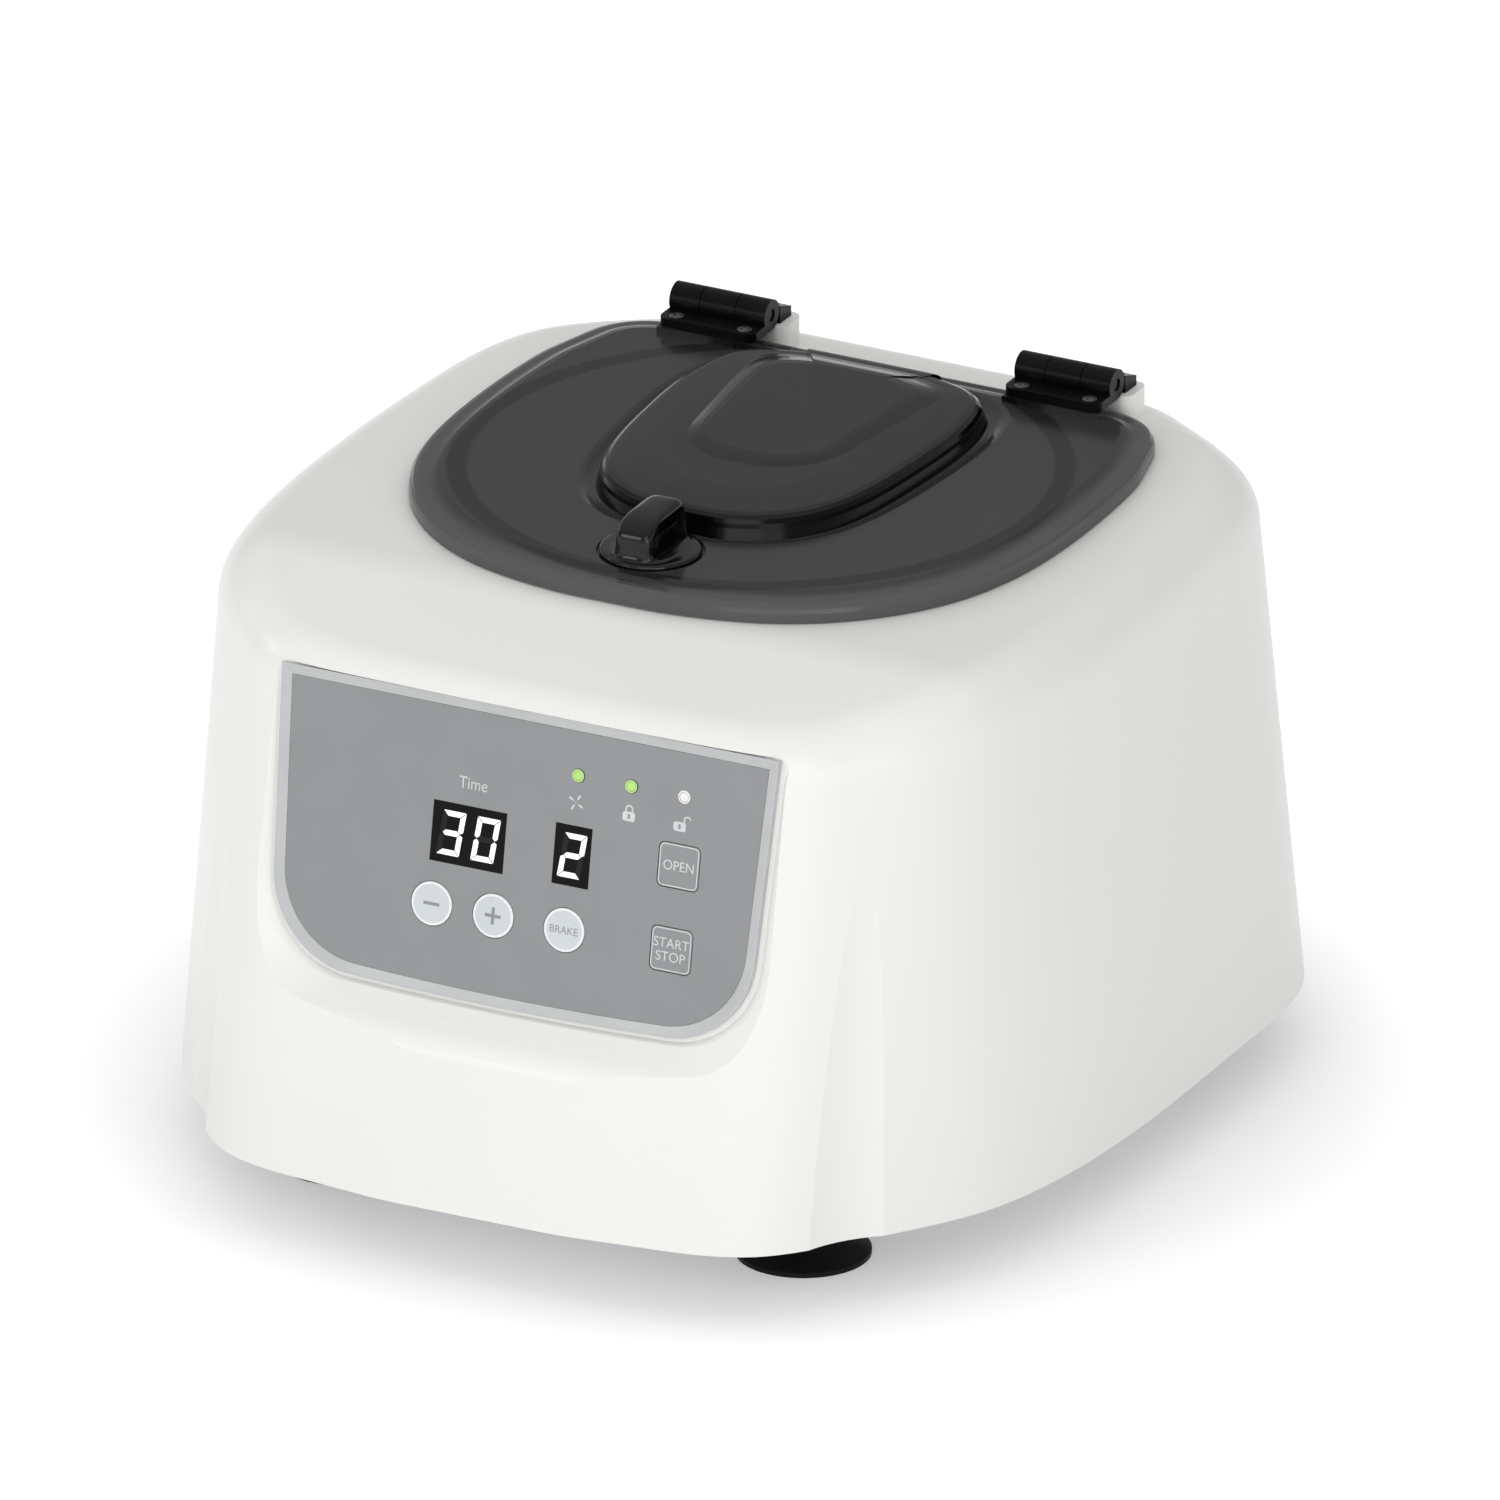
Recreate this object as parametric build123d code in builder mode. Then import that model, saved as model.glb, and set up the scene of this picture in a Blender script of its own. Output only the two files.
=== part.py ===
"""Small bench centrifuge for capped tubes: moulded housing, hinged smoked lid with a turn latch,
fixed-angle rotor for six tubes, brushless motor on rubber dampers, keypad and power entry.

Millimetres, +Z up, front towards -Y. The origin is on the bench, under the middle of the housing.
"""
from build123d import *
import math
import os

os.makedirs("parts", exist_ok=True)

# ---------------------------------------------------------------- driving dimensions
# housing
body_width = 304.0        # widest, at the bottom edge
body_depth = 331.0        # front to back, at the bottom edge
foot_height = 22.6        # bench to the bottom edge of the housing
deck_z = 192.8            # flat top deck round the lid
wall = 3.0                # moulded side walls
deck_wall = 3.5           # top deck
shoulder_radius = 18.0    # rounding between deck and walls
front_rake = 42.5         # how far the front leans back up to draft_z
side_draft = 10.5         # same for each side
back_draft = 7.5          # same for the back
draft_rise = 7.2          # above the deck, where the three leans above are measured
deck_fall = 12.0          # slope of the deck in front of the lid, degrees
rotor_y = 31.5            # rotor axis, behind the middle of the housing

# fits
gap = 0.3                 # between pieces that move past each other
seat_gap = 0.4            # lid rim over the deck
run_fit = 0.05            # radial play of a shaft in its bore
slip_fit = 0.15           # radial play of a loose screw or sleeve

# keypad panel
panel_y = -124.5          # top edge of the panel, front face
panel_z = 177.0
panel_lean = 9.9          # degrees from upright
panel_width = 172.4       # at the top edge
panel_height = 95.3
panel_taper = 4.1         # each side, top to bottom
panel_crown = 2.9         # how far the bottom edge bows down
panel_corner = 30.0       # lower corner radius
bezel_width = 3.3
bezel_edge = 0.8          # flat rim before the bezel's face slopes inwards
bezel_thick = 2.2
overlay_thick = 1.4
pocket_margin = 1.5       # housing floor shown round the bezel
pocket_top = 0.5          # above the panel's top edge
flare_radius = 20.0       # pocket mouth opening onto the shoulder
flare_start = 10.0        # below the panel's top edge

# chamber and lid
opening_radius = 81.0     # hole in the deck
collar_depth = 20.8       # tube below the deck round that hole
bowl_wall = 1.5
bowl_floor_z = 110.5
lid_half_width = 105.6
lid_front = 102.4         # from the rotor axis
lid_back = 92.0           # from the rotor axis, also the hinge line
lid_rim = 7.0             # height of the lid's edge
lid_wall = 3.0
lid_edge_radius = 2.8
gasket_radius = 97.2
gasket_width = 6.5
dome_half_width = 50.8
dome_back = 86.0          # from the rotor axis
dome_front = 55.0
dome_height = 6.5
moat_depth = 1.6
rim_drop = 1.2            # lid's rim below its flat top

# latch
latch_reach = 74.6        # knob axis in front of the rotor axis
knob_radius = 16.0
knob_disc = 2.4           # disc above its seat in the lid
grip_length = 24.6
grip_width = 12.3
grip_height = 13.1
shaft_radius = 4.0
tongue_length = 15.0
tongue_half_width = 4.0
tongue_thick = 3.0
bolt_radius = 2.0
bolt_travel = 12.0

# hinges
hinge_spacing = 119.7     # between hinge middles
hinge_width = 33.1
hinge_rise = 14.2         # barrel axis over the deck
barrel_radius = 5.0
pin_radius = 2.0
flange_reach = 13.0       # lid leaf, forward of the hinge line
flange_thick = 3.0
rear_leaf_end = 13.2      # body leaf, behind the hinge line

# rotor and motor
tube_count = 6
tube_tilt = 37.0
sleeve_radius = 9.5
sleeve_wall = 1.0
sleeve_length = 68.0
sleeve_flange = 2.0       # how far the sleeve's flange stands out
sleeve_space = 2.0        # between the flanges of neighbouring sleeves
mouth_z = 178.0
head_thick = 28.0         # rotor head, along the tube axes
spindle_radius = 4.0
motor_radius = 42.0
motor_base_z = 38.0
motor_height = 60.0

# feet and base
foot_radius = 21.15
foot_x = 79.5
foot_front_y = -95.0
foot_rear_y = 112.0
base_thick = 2.5

# keys and indicators on the panel: (x, distance down from the panel's top edge)
key_travel = 0.4
round_key_radius = 6.95
square_key = 14.0
stem_radius = 2.0
round_keys = {"key_minus": (-28.8, 66.8), "key_plus": (-7.5, 66.8), "key_brake": (17.1, 66.8)}
square_keys = {"key_open": (54.4, 39.6), "key_start_stop": (54.1, 66.4)}
lamps = {"lamp_run": (17.6, 17.4), "lamp_locked": (36.0, 17.4), "lamp_unlocked": (54.4, 17.4)}
lamp_radius = 1.6
time_window = (-18.2, 43.5, 25.4, 19.4)   # x, distance down, width, height
brake_window = (17.7, 43.0, 12.7, 19.4)

# ---------------------------------------------------------------- derived places
half_width = body_width / 2
draft_z = deck_z + draft_rise
hinge_z = deck_z + hinge_rise
half_depth = body_depth / 2
panel_plane = Plane(
    origin=(0, panel_y, panel_z),
    x_dir=(1, 0, 0),
    z_dir=(0, -math.cos(math.radians(panel_lean)), math.sin(math.radians(panel_lean))),
)
hinge_y = rotor_y + lid_back
hinge_places = (-hinge_spacing / 2, hinge_spacing / 2)
latch_y = rotor_y - latch_reach
lid_bottom = deck_z + seat_gap
lid_top = lid_bottom + lid_rim
lid_under = lid_top - lid_wall
mouth_radius = (sleeve_radius + sleeve_flange + sleeve_space / 2) / math.sin(math.pi / tube_count)

# half outlines of the housing as shares of its half width and half depth, from the end of the flat
# front round to the start of the flat back; the lower one has the squared front with its proud
# corners, the upper one is rounder
base_shape = [
    (0.16, -1), (0.335, -0.985), (0.507, -0.962), (0.615, -0.918), (0.697, -0.84),
    (0.811, -0.696), (0.908, -0.55), (0.968, -0.364), (1, 0), (0.991, 0.414),
    (0.911, 0.774), (0.697, 0.937), (0.35, 1),
]
draft_shape = [
    (0.16, -1), (0.38, -0.997), (0.566, -0.982), (0.672, -0.947), (0.75, -0.886),
    (0.828, -0.815), (0.902, -0.715), (0.973, -0.495), (1, -0.125), (0.979, 0.374),
    (0.856, 0.765), (0.651, 0.922), (0.35, 1),
]


def save(piece, name):
    """Label a finished piece and write it as its own file."""
    piece.part.label = name
    export_step(piece.part, f"parts/{name}.step")


def inset_points(points, start, end, inset):
    """Points of a half outline moved inwards along its normals; start and end are its tangents."""
    runs = [(b[0] - a[0], b[1] - a[1]) for a, b in zip(points, points[2:])]
    moved = []
    for (x, y), (run_x, run_y) in zip(points, [start, *runs, end]):
        size = math.hypot(run_x, run_y)
        moved.append((x - inset * run_y / size, y + inset * run_x / size))
    return moved


def outline(z, shape, half_x, front, back, inset):
    """Closed housing outline at height z, drawn in by inset."""
    middle = (front + back) / 2
    reach = (back - front) / 2
    points = [(fx * half_x, middle + fy * reach) for fx, fy in shape]
    points = inset_points(points, (1, 0), (-1, 0), inset)
    with BuildSketch(Plane.XY.offset(z)) as sketch:
        with BuildLine():
            Line((0, points[0][1]), points[0])
            Spline(*points, tangents=((1, 0), (-1, 0)))
            Line(points[-1], (0, points[-1][1]))
            mirror(about=Plane.YZ)
        make_face()
    return sketch.sketch


def housing_loft(inset):
    """The housing's drafted sides, without its deck."""
    with BuildPart() as body:
        add(outline(foot_height, base_shape, half_width, -half_depth, half_depth, inset))
        add(
            outline(
                draft_z, draft_shape, half_width - side_draft,
                front_rake - half_depth, half_depth - back_draft, inset,
            )
        )
        loft(ruled=True)
    return body.part


def housing_form(inset, top):
    """The whole housing shape with its deck at height top and rounded shoulders."""
    slope_y = rotor_y - lid_front - 1.6
    front_y = -half_depth
    with BuildPart() as body:
        add(housing_loft(inset))
        with BuildSketch(Plane.YZ.offset(-half_width)):
            with BuildLine():
                fall = (slope_y - front_y) * math.tan(math.radians(deck_fall))
                deck = FilletPolyline(
                    (half_depth + 1, top), (slope_y, top), (front_y, top - fall), radius=60
                )
                Polyline(
                    deck @ 1, (front_y, draft_z + 5), (half_depth + 1, draft_z + 5), deck @ 0
                )
            make_face()
        extrude(amount=body_width, mode=Mode.SUBTRACT)
        rim = body.edges().filter_by(GeomType.LINE, reverse=True)
        fillet(rim.filter_by(lambda edge: edge.center().Z > top - 40), shoulder_radius - inset)
    return body.part


def panel_sketch(plane, grow, low_grow, flared=False):
    """Panel outline on a plane parallel to the panel; flared, its sides open out at the top."""
    slope = panel_taper / (panel_height - panel_crown)
    top = panel_width / 2 + grow
    low = top - panel_taper
    top_y = pocket_top if flared else min(grow, 0)
    corner_y = panel_crown - panel_height - low_grow
    with BuildSketch(plane) as sketch:
        with BuildLine():
            if flared:
                start = (top - slope * flare_start, -flare_start)
                turn = math.asin((flare_start + pocket_top) / flare_radius)
                arc = [
                    (
                        start[0] + flare_radius * (1 - math.cos(angle)),
                        start[1] + flare_radius * math.sin(angle),
                    )
                    for angle in (turn / 2, turn)
                ]
                Line((low, corner_y), start)
                ThreePointArc(start, *arc)
                Line(arc[1], (0, top_y))
            else:
                Line((low, corner_y), (top + slope * top_y, top_y))
                Line((top + slope * top_y, top_y), (0, top_y))
            mirror(about=Plane.YZ)
            ThreePointArc((low, corner_y), (0, -panel_height - low_grow), (-low, corner_y))
        make_face()
        lower = sketch.vertices().filter_by(lambda v: abs(v.Y - corner_y) < 0.01)
        fillet(lower, panel_corner + grow * 0.6)
    return sketch.sketch


# ---------------------------------------------------------------- upper housing
post_radius = 5.5
post_height = 26.0
rib_length = half_width * 0.122   # from each post's middle out into the wall
post_places = [(0.915, 0.2), (0.84, -0.5), (0.8, 0.72)]   # shares of half width and half depth
hinge_boss_margin = 2.8
hinge_boss_front = 3.0    # behind the hinge line
hinge_boss_back = 16.0
hinge_seat_z = deck_z + 9.2
pad_drop = 5.3            # striker pad, below the deck's top
pad_left = 28.0
pad_right = 14.0
pad_depth = 15.0          # forward from the opening's edge
striker_thick = 1.5
tongue_gap = 0.4          # under the striker plate
flute_radius = 45.0
flute_depth = 1.8
rear_panel_y = 158.0      # floor of the recess for the power entry
rear_panel = (112.0, 46.0, 58.0)   # width, height, middle height
inlet_x = 24.0
inlet_cut = (27.4, 20.0)
switch_x = -14.0
switch_cut = (19.4, 13.2)
fuse_x = -40.0
fuse_radius = 6.4
vent_count = 13
vent_pitch = 7.0
vent_size = (3.2, 34.0)
vent_z = 118.0


# the pocket's wall: height in front of the bezel's rim, run outwards at the sides and at the bottom
pocket_profile = [
    (-1.2, 1.4, 0.2), (0, 4, 0.7), (1.5, 8, 2.2), (3, 13, 3.6), (4, 17, 4.5), (5, 21, 5.5),
    (7, 29, 7.4), (8.5, 35, 9.1), (9.5, 39, 10.7), (10.3, 42, 12.7), (11, 45, 15.3), (12, 49, 20.4),
    (16, 70, 46),
]


def pocket(extra):
    """Hollow round the panel, its wall rolling outwards; extra sets it back into the moulding."""
    margin = pocket_margin + extra
    with BuildPart() as hollow:
        add(panel_sketch(panel_plane.offset(-bezel_thick - extra), margin, margin, flared=True))
        for rise, side, low in pocket_profile:
            plane = panel_plane.offset(rise - extra)
            add(panel_sketch(plane, margin + side, margin + low, flared=True))
        loft(ruled=True)
    return hollow.part


inner_top = deck_z - deck_wall
collar_z = deck_z - collar_depth
pad_z = deck_z - pad_drop
opening_front = rotor_y - opening_radius
tongue_top = pad_z - striker_thick - tongue_gap
tongue_bottom = tongue_top - tongue_thick
bowl_top = tongue_bottom - 1.1
boss_ring = opening_radius + wall + 6.0
boss_radius = 4.0
bowl_screw_depth = 9.0
tongue_room = 0.9         # slot in the collar, below the tongue
screw_radius = 1.5
post_points = [(side * fx * half_width, fy * half_depth) for fx, fy in post_places for side in (-1, 1)]
board_back = 14.0         # panel face to the back of the control board
board_thick = 1.6
board_face = board_back - board_thick
tray_floor = bezel_thick + wall
board_size = (140.0, 80.0)
board_middle = -48.0
spacer_places = [(x, y) for x in (-64, 64) for y in (board_middle - 34, board_middle + 34)]


hinge_screw_x = 11.75
body_screw_y = 9.4
hinge_screw_depth = 11.0


def hinge_screw_points(y):
    """Screw centres of both hinges at one distance from the front."""
    return [(hx + dx, y) for hx in hinge_places for dx in (-hinge_screw_x, hinge_screw_x)]


def flute(side):
    """Shallow groove beside the squared front, deepest at the bottom and gone at flute_end."""
    flute_end = 150.0
    low = Vector(side * 0.737 * half_width, -0.79 * half_depth, foot_height)
    high = Vector(
        side * 0.75 * (half_width - side_draft), -0.647 * half_depth, draft_z
    )
    middle = low + (high - low) * ((flute_end - foot_height) / (draft_z - foot_height))
    low += Vector(side * 0.809, -0.588, 0) * (flute_radius - flute_depth)
    middle += Vector(side * 0.76, -0.65, 0) * (flute_radius + 0.6)
    axis = (middle - low).normalized()
    with BuildPart() as groove:
        with BuildSketch(Plane(origin=low - axis * 12, z_dir=axis)):
            Circle(flute_radius)
        extrude(amount=(middle - low).length + 12)
    return groove.part


def window_box(window, trim, back, front):
    """Rectangular prism through the panel, set out from its top edge."""
    x, down, width, height = window
    with BuildPart() as block:
        with BuildSketch(panel_plane.offset(back)):
            with Locations((x, -down)):
                Rectangle(width + trim, height + trim)
        extrude(amount=front - back)
    return block.part


with BuildPart() as cavity:
    add(housing_form(wall, inner_top))
    # material left standing in the hollow: behind the panel pocket, round the rear recess, the
    # screw posts with their ribs, and the striker pad under the deck
    add(pocket(wall), mode=Mode.SUBTRACT)
    with BuildSketch(Plane.XZ.offset(-rear_panel_y)):
        with Locations((0, rear_panel[2])):
            RectangleRounded(rear_panel[0] + 2 * wall, rear_panel[1] + 2 * wall, 6)
    extrude(amount=-30, mode=Mode.SUBTRACT)
    with BuildSketch(Plane.XY.offset(foot_height + base_thick)):
        with Locations(*post_points):
            Circle(post_radius)
        for x, y in post_points:
            with Locations((x + math.copysign(rib_length / 2, x), y)):
                Rectangle(rib_length, 2.5)
    extrude(amount=post_height, mode=Mode.SUBTRACT)
    with BuildSketch(Plane.XY.offset(pad_z)):
        with Locations(((pad_right - pad_left) / 2, opening_front - pad_depth / 2)):
            Rectangle(pad_left + pad_right, pad_depth + 6)
    extrude(amount=pad_drop, mode=Mode.SUBTRACT)

with BuildPart() as upper_housing:
    add(housing_form(0, deck_z))
    for side in (-1, 1):
        add(flute(side), mode=Mode.SUBTRACT)
    add(cavity.part, mode=Mode.SUBTRACT)
    add(pocket(0), mode=Mode.SUBTRACT)
    with BuildSketch(Plane.XY.offset(collar_z)):
        with Locations((0, rotor_y)):
            Circle(opening_radius)
    extrude(amount=collar_depth + 2, mode=Mode.SUBTRACT)
    # hinge bosses
    with BuildSketch(Plane.XY.offset(inner_top + 1)):
        with Locations(
            (-hinge_spacing / 2, hinge_y + (hinge_boss_front + hinge_boss_back) / 2),
            (hinge_spacing / 2, hinge_y + (hinge_boss_front + hinge_boss_back) / 2),
        ):
            RectangleRounded(
                hinge_width + 2 * hinge_boss_margin, hinge_boss_back - hinge_boss_front, 3.5
            )
    extrude(amount=hinge_seat_z - inner_top - 1)
    # windows, stems and lamps through the panel floor
    for window in (time_window, brake_window):
        add(window_box(window, -3, -tray_floor - 8, 0), mode=Mode.SUBTRACT)
    with BuildSketch(panel_plane.offset(-tray_floor - 8)):
        with Locations(*[(x, -down) for x, down in [*round_keys.values(), *square_keys.values()]]):
            Circle(stem_radius + 0.6)
        with Locations(*[(x, -down) for x, down in lamps.values()]):
            Circle(lamp_radius + gap)
    extrude(amount=tray_floor + 8, mode=Mode.SUBTRACT)
    # recess for the power entry, open to the rear plate, and cooling slots above it
    with BuildSketch(Plane.XZ.offset(-rear_panel_y)):
        with Locations((0, rear_panel[2])):
            RectangleRounded(rear_panel[0], rear_panel[1], 4)
    extrude(amount=-20, mode=Mode.SUBTRACT)
    with BuildSketch(Plane.XZ.offset(-rear_panel_y - 20)):
        with Locations((0, vent_z)):
            with GridLocations(vent_pitch, 0, vent_count, 1):
                SlotOverall(vent_size[1], vent_size[0], rotation=90)
    extrude(amount=40, mode=Mode.SUBTRACT)
    # screw holes
    with BuildSketch(Plane.XY.offset(foot_height)):
        with Locations(*post_points):
            Circle(screw_radius)
    extrude(amount=16, mode=Mode.SUBTRACT)
    with BuildSketch(Plane.XY.offset(hinge_seat_z)):
        with Locations(*hinge_screw_points(hinge_y + body_screw_y)):
            Circle(screw_radius)
    extrude(amount=-hinge_screw_depth, mode=Mode.SUBTRACT)
save(upper_housing, "upper_housing")

# guard ring round the chamber, with bosses for the bowl and a slot for the latch tongue
with BuildPart() as chamber_collar:
    with BuildSketch(Plane.XY.offset(collar_z)):
        with Locations((0, rotor_y)):
            Circle(opening_radius + wall)
            with PolarLocations(boss_ring, 4, start_angle=45):
                Circle(boss_radius)
            with PolarLocations(boss_ring - boss_radius, 4, start_angle=45):
                Rectangle(2 * boss_radius, 2 * boss_radius)
            Circle(opening_radius, mode=Mode.SUBTRACT)
    extrude(amount=inner_top - collar_z)
    with BuildSketch(Plane.XY.offset(tongue_bottom - tongue_room)):
        with Locations((5, opening_front)):
            Rectangle(22, 14)
    extrude(amount=pad_z - tongue_bottom + tongue_room, mode=Mode.SUBTRACT)
    with BuildSketch(Plane.XY.offset(pad_z)):
        with Locations(((pad_right - pad_left) / 2, opening_front)):
            Rectangle(pad_left + pad_right, 2 * wall + 4)
    extrude(amount=inner_top - pad_z, mode=Mode.SUBTRACT)
    with BuildSketch(Plane.XY.offset(collar_z)):
        with Locations((0, rotor_y)):
            with PolarLocations(boss_ring, 4, start_angle=45):
                Circle(screw_radius)
    extrude(amount=bowl_screw_depth, mode=Mode.SUBTRACT)
save(chamber_collar, "chamber_collar")

# plate behind the rear recess, with the cut-outs of the power entry
with BuildPart() as rear_plate:
    with BuildSketch(Plane.XZ.offset(-rear_panel_y)):
        with Locations((0, rear_panel[2])):
            RectangleRounded(rear_panel[0] + 2 * wall, rear_panel[1] + 2 * wall, 6)
        with Locations((inlet_x, rear_panel[2])):
            Rectangle(*inlet_cut, mode=Mode.SUBTRACT)
        with Locations((switch_x, rear_panel[2])):
            Rectangle(*switch_cut, mode=Mode.SUBTRACT)
        with Locations((fuse_x, rear_panel[2])):
            Circle(fuse_radius, mode=Mode.SUBTRACT)
    extrude(amount=wall)
save(rear_plate, "rear_plate")

# ---------------------------------------------------------------- base plate and feet
foot_places = [(x, y) for x in (-foot_x, foot_x) for y in (foot_front_y, foot_rear_y)]
stud_radius = 3.0
base_top = foot_height + base_thick
damper_radius = 8.0
damper_offset = 44.0
flange_plate = 104.0
plate_thick = 3.0
damper_places = [
    (x, rotor_y + y) for x in (-damper_offset, damper_offset) for y in (-damper_offset, damper_offset)
]
power_board_middle = (-58.0, 112.0)
power_board_size = (84.0, 34.0)
power_board_z = 33.0
power_posts = [
    (power_board_middle[0] + sx * 38, power_board_middle[1] + sy * 13) for sx in (-1, 1) for sy in (-1, 1)
]

with BuildPart() as base_plate:
    add(housing_loft(wall + seat_gap))
    split(bisect_by=Plane.XY.offset(base_top), keep=Keep.BOTTOM)
    with BuildSketch(Plane.XY.offset(base_top)):
        with Locations(*power_posts):
            Circle(3.5)
    extrude(amount=power_board_z - base_top)
    with BuildSketch(Plane.XY.offset(foot_height)):
        with Locations(*foot_places):
            Circle(stud_radius + slip_fit)
        with Locations(*post_points, *damper_places):
            Circle(screw_radius + slip_fit)
        with Locations((0, rotor_y), (0, rotor_y - 80)):
            with GridLocations(9, 0, 9, 1):
                SlotOverall(30, 4, rotation=90)
    extrude(amount=base_thick, mode=Mode.SUBTRACT)
save(base_plate, "base_plate")

with BuildPart() as feet:
    for x, y in foot_places:
        with BuildSketch(Plane(origin=(x, y, 0), x_dir=(1, 0, 0), z_dir=(0, -1, 0))):
            with BuildLine():
                Spline((0, 4.2), (12, 2.6), (foot_radius - 1.4, 0), tangents=((1, 0), (1, -0.5)))
                Polyline(
                    (foot_radius - 1.4, 0), (foot_radius, 0), (foot_radius, 1.6), (14, 5.4), (9.6, 9),
                    (8.6, 18.4), (11.5, 20), (11.5, foot_height), (stud_radius, foot_height),
                    (stud_radius, base_top + 3), (0, base_top + 3), (0, 4.2),
                )
            make_face()
        revolve(axis=Axis((x, y, 0), (0, 0, 1)))
save(feet, "feet")

with BuildPart() as foot_nuts:
    with BuildSketch(Plane.XY.offset(base_top)):
        with Locations(*foot_places):
            RegularPolygon(5.5, 6)
            Circle(stud_radius, mode=Mode.SUBTRACT)
    extrude(amount=2.4)
save(foot_nuts, "foot_nuts")

with BuildPart() as base_screws:
    with BuildSketch(Plane.XY.offset(foot_height)):
        with Locations(*post_points):
            Circle(screw_radius)
    extrude(amount=14)
    with BuildSketch(Plane.XY.offset(foot_height)):
        with Locations(*post_points):
            Circle(3.0)
    extrude(amount=-1.6)
save(base_screws, "base_screws")

# ---------------------------------------------------------------- keypad panel
# the bezel's inner face slopes down to the overlay
bezel_slope = (bezel_width - bezel_edge) / (bezel_thick - overlay_thick)
with BuildPart() as panel_bezel:
    add(panel_sketch(panel_plane.offset(-bezel_thick), 0, 0))
    extrude(amount=bezel_thick, dir=panel_plane.z_dir)
    with BuildPart(mode=Mode.SUBTRACT):
        for z, inset in (
            (-bezel_thick - 1, bezel_width),
            (overlay_thick - bezel_thick, bezel_width),
            (0.2, bezel_edge - 0.2 * bezel_slope),
        ):
            add(panel_sketch(panel_plane.offset(z), -inset, -inset))
        loft(ruled=True)
save(panel_bezel, "panel_bezel")

overlay_face = bezel_thick - overlay_thick   # how far the overlay lies behind the bezel's rim
key_proud = 0.3           # round keys above the overlay
square_proud = 0.05
key_thick = 1.2
key_back = overlay_face - key_proud + key_thick
switch_gap = key_travel + 0.3   # between each key's stem and its switch
stem_end = board_face - 4.9


def square_key_sketch(trim):
    """Square keys with rounded corners, at their places."""
    with Locations(*[(x, -down) for x, down in square_keys.values()]):
        RectangleRounded(square_key + trim, square_key + trim, 1.8 + trim / 2)


with BuildPart() as panel_overlay:
    add(panel_sketch(panel_plane.offset(-bezel_thick), -bezel_width - 0.1, -bezel_width - 0.1))
    extrude(amount=overlay_thick, dir=panel_plane.z_dir)
    for window in (time_window, brake_window):
        add(window_box(window, 0, -bezel_thick, 0), mode=Mode.SUBTRACT)
    with BuildSketch(panel_plane.offset(-bezel_thick)):
        with Locations(*[(x, -down) for x, down in round_keys.values()]):
            Circle(round_key_radius + gap)
        square_key_sketch(2 * gap)
        with Locations(*[(x, -down) for x, down in lamps.values()]):
            Circle(lamp_radius + 0.05)
    extrude(amount=bezel_thick, mode=Mode.SUBTRACT)
save(panel_overlay, "panel_overlay")

for name, window in {"time_window": time_window, "brake_window": brake_window}.items():
    with BuildPart() as lens:
        add(window_box(window, -0.1, -bezel_thick, -overlay_face))
    save(lens, name)

for name, (x, down) in {**round_keys, **square_keys}.items():
    with BuildPart() as key:
        with BuildSketch(panel_plane.offset(-key_back)):
            with Locations((x, -down)):
                if name in round_keys:
                    Circle(round_key_radius)
                else:
                    RectangleRounded(square_key, square_key, 1.8)
        extrude(amount=key_thick if name in round_keys else key_thick + square_proud - key_proud)
        fillet(key.faces().sort_by(Axis(panel_plane.origin, panel_plane.z_dir))[-1].edges(), 0.25)
        with BuildSketch(panel_plane.offset(-stem_end)):
            with Locations((x, -down)):
                Circle(stem_radius)
        extrude(amount=stem_end - key_back)
    save(key, name)

for name, (x, down) in lamps.items():
    with BuildPart() as lamp:
        with BuildSketch(panel_plane.offset(-board_face)):
            with Locations((x, -down)):
                Circle(lamp_radius)
        extrude(amount=board_face - overlay_face + 0.35)
        fillet(lamp.faces().sort_by(Axis(panel_plane.origin, panel_plane.z_dir))[-1].edges(), 0.6)
    save(lamp, name)

with BuildPart() as control_board:
    with BuildSketch(panel_plane.offset(-board_back)):
        with Locations((0, board_middle)):
            RectangleRounded(*board_size, 3)
        with Locations(*spacer_places):
            Circle(screw_radius, mode=Mode.SUBTRACT)
    extrude(amount=board_thick)
save(control_board, "control_board")

with BuildPart() as board_spacers:
    with BuildSketch(panel_plane.offset(-board_face)):
        with Locations(*spacer_places):
            Circle(3.5)
            Circle(screw_radius, mode=Mode.SUBTRACT)
    extrude(amount=board_face - tray_floor)
save(board_spacers, "board_spacers")

with BuildPart() as board_screws:
    with BuildSketch(panel_plane.offset(-board_back - 2)):
        with Locations(*spacer_places):
            Circle(2.8)
    extrude(amount=2)
    with BuildSketch(panel_plane.offset(-board_back)):
        with Locations(*spacer_places):
            Circle(screw_radius)
    extrude(amount=board_back - tray_floor)
save(board_screws, "board_screws")

with BuildPart() as displays:
    for window in (time_window, brake_window):
        add(window_box(window, -4, -board_face, -bezel_thick - 0.1))
save(displays, "displays")

with BuildPart() as key_switches:
    with BuildSketch(panel_plane.offset(-board_face)):
        with Locations(*[(x, -down) for x, down in [*round_keys.values(), *square_keys.values()]]):
            Rectangle(6, 6)
    extrude(amount=3.4)
    with BuildSketch(panel_plane.offset(3.4 - board_face)):
        with Locations(*[(x, -down) for x, down in [*round_keys.values(), *square_keys.values()]]):
            Circle(1.7)
    extrude(amount=4.9 - switch_gap - 3.4)
save(key_switches, "key_switches")

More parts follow.
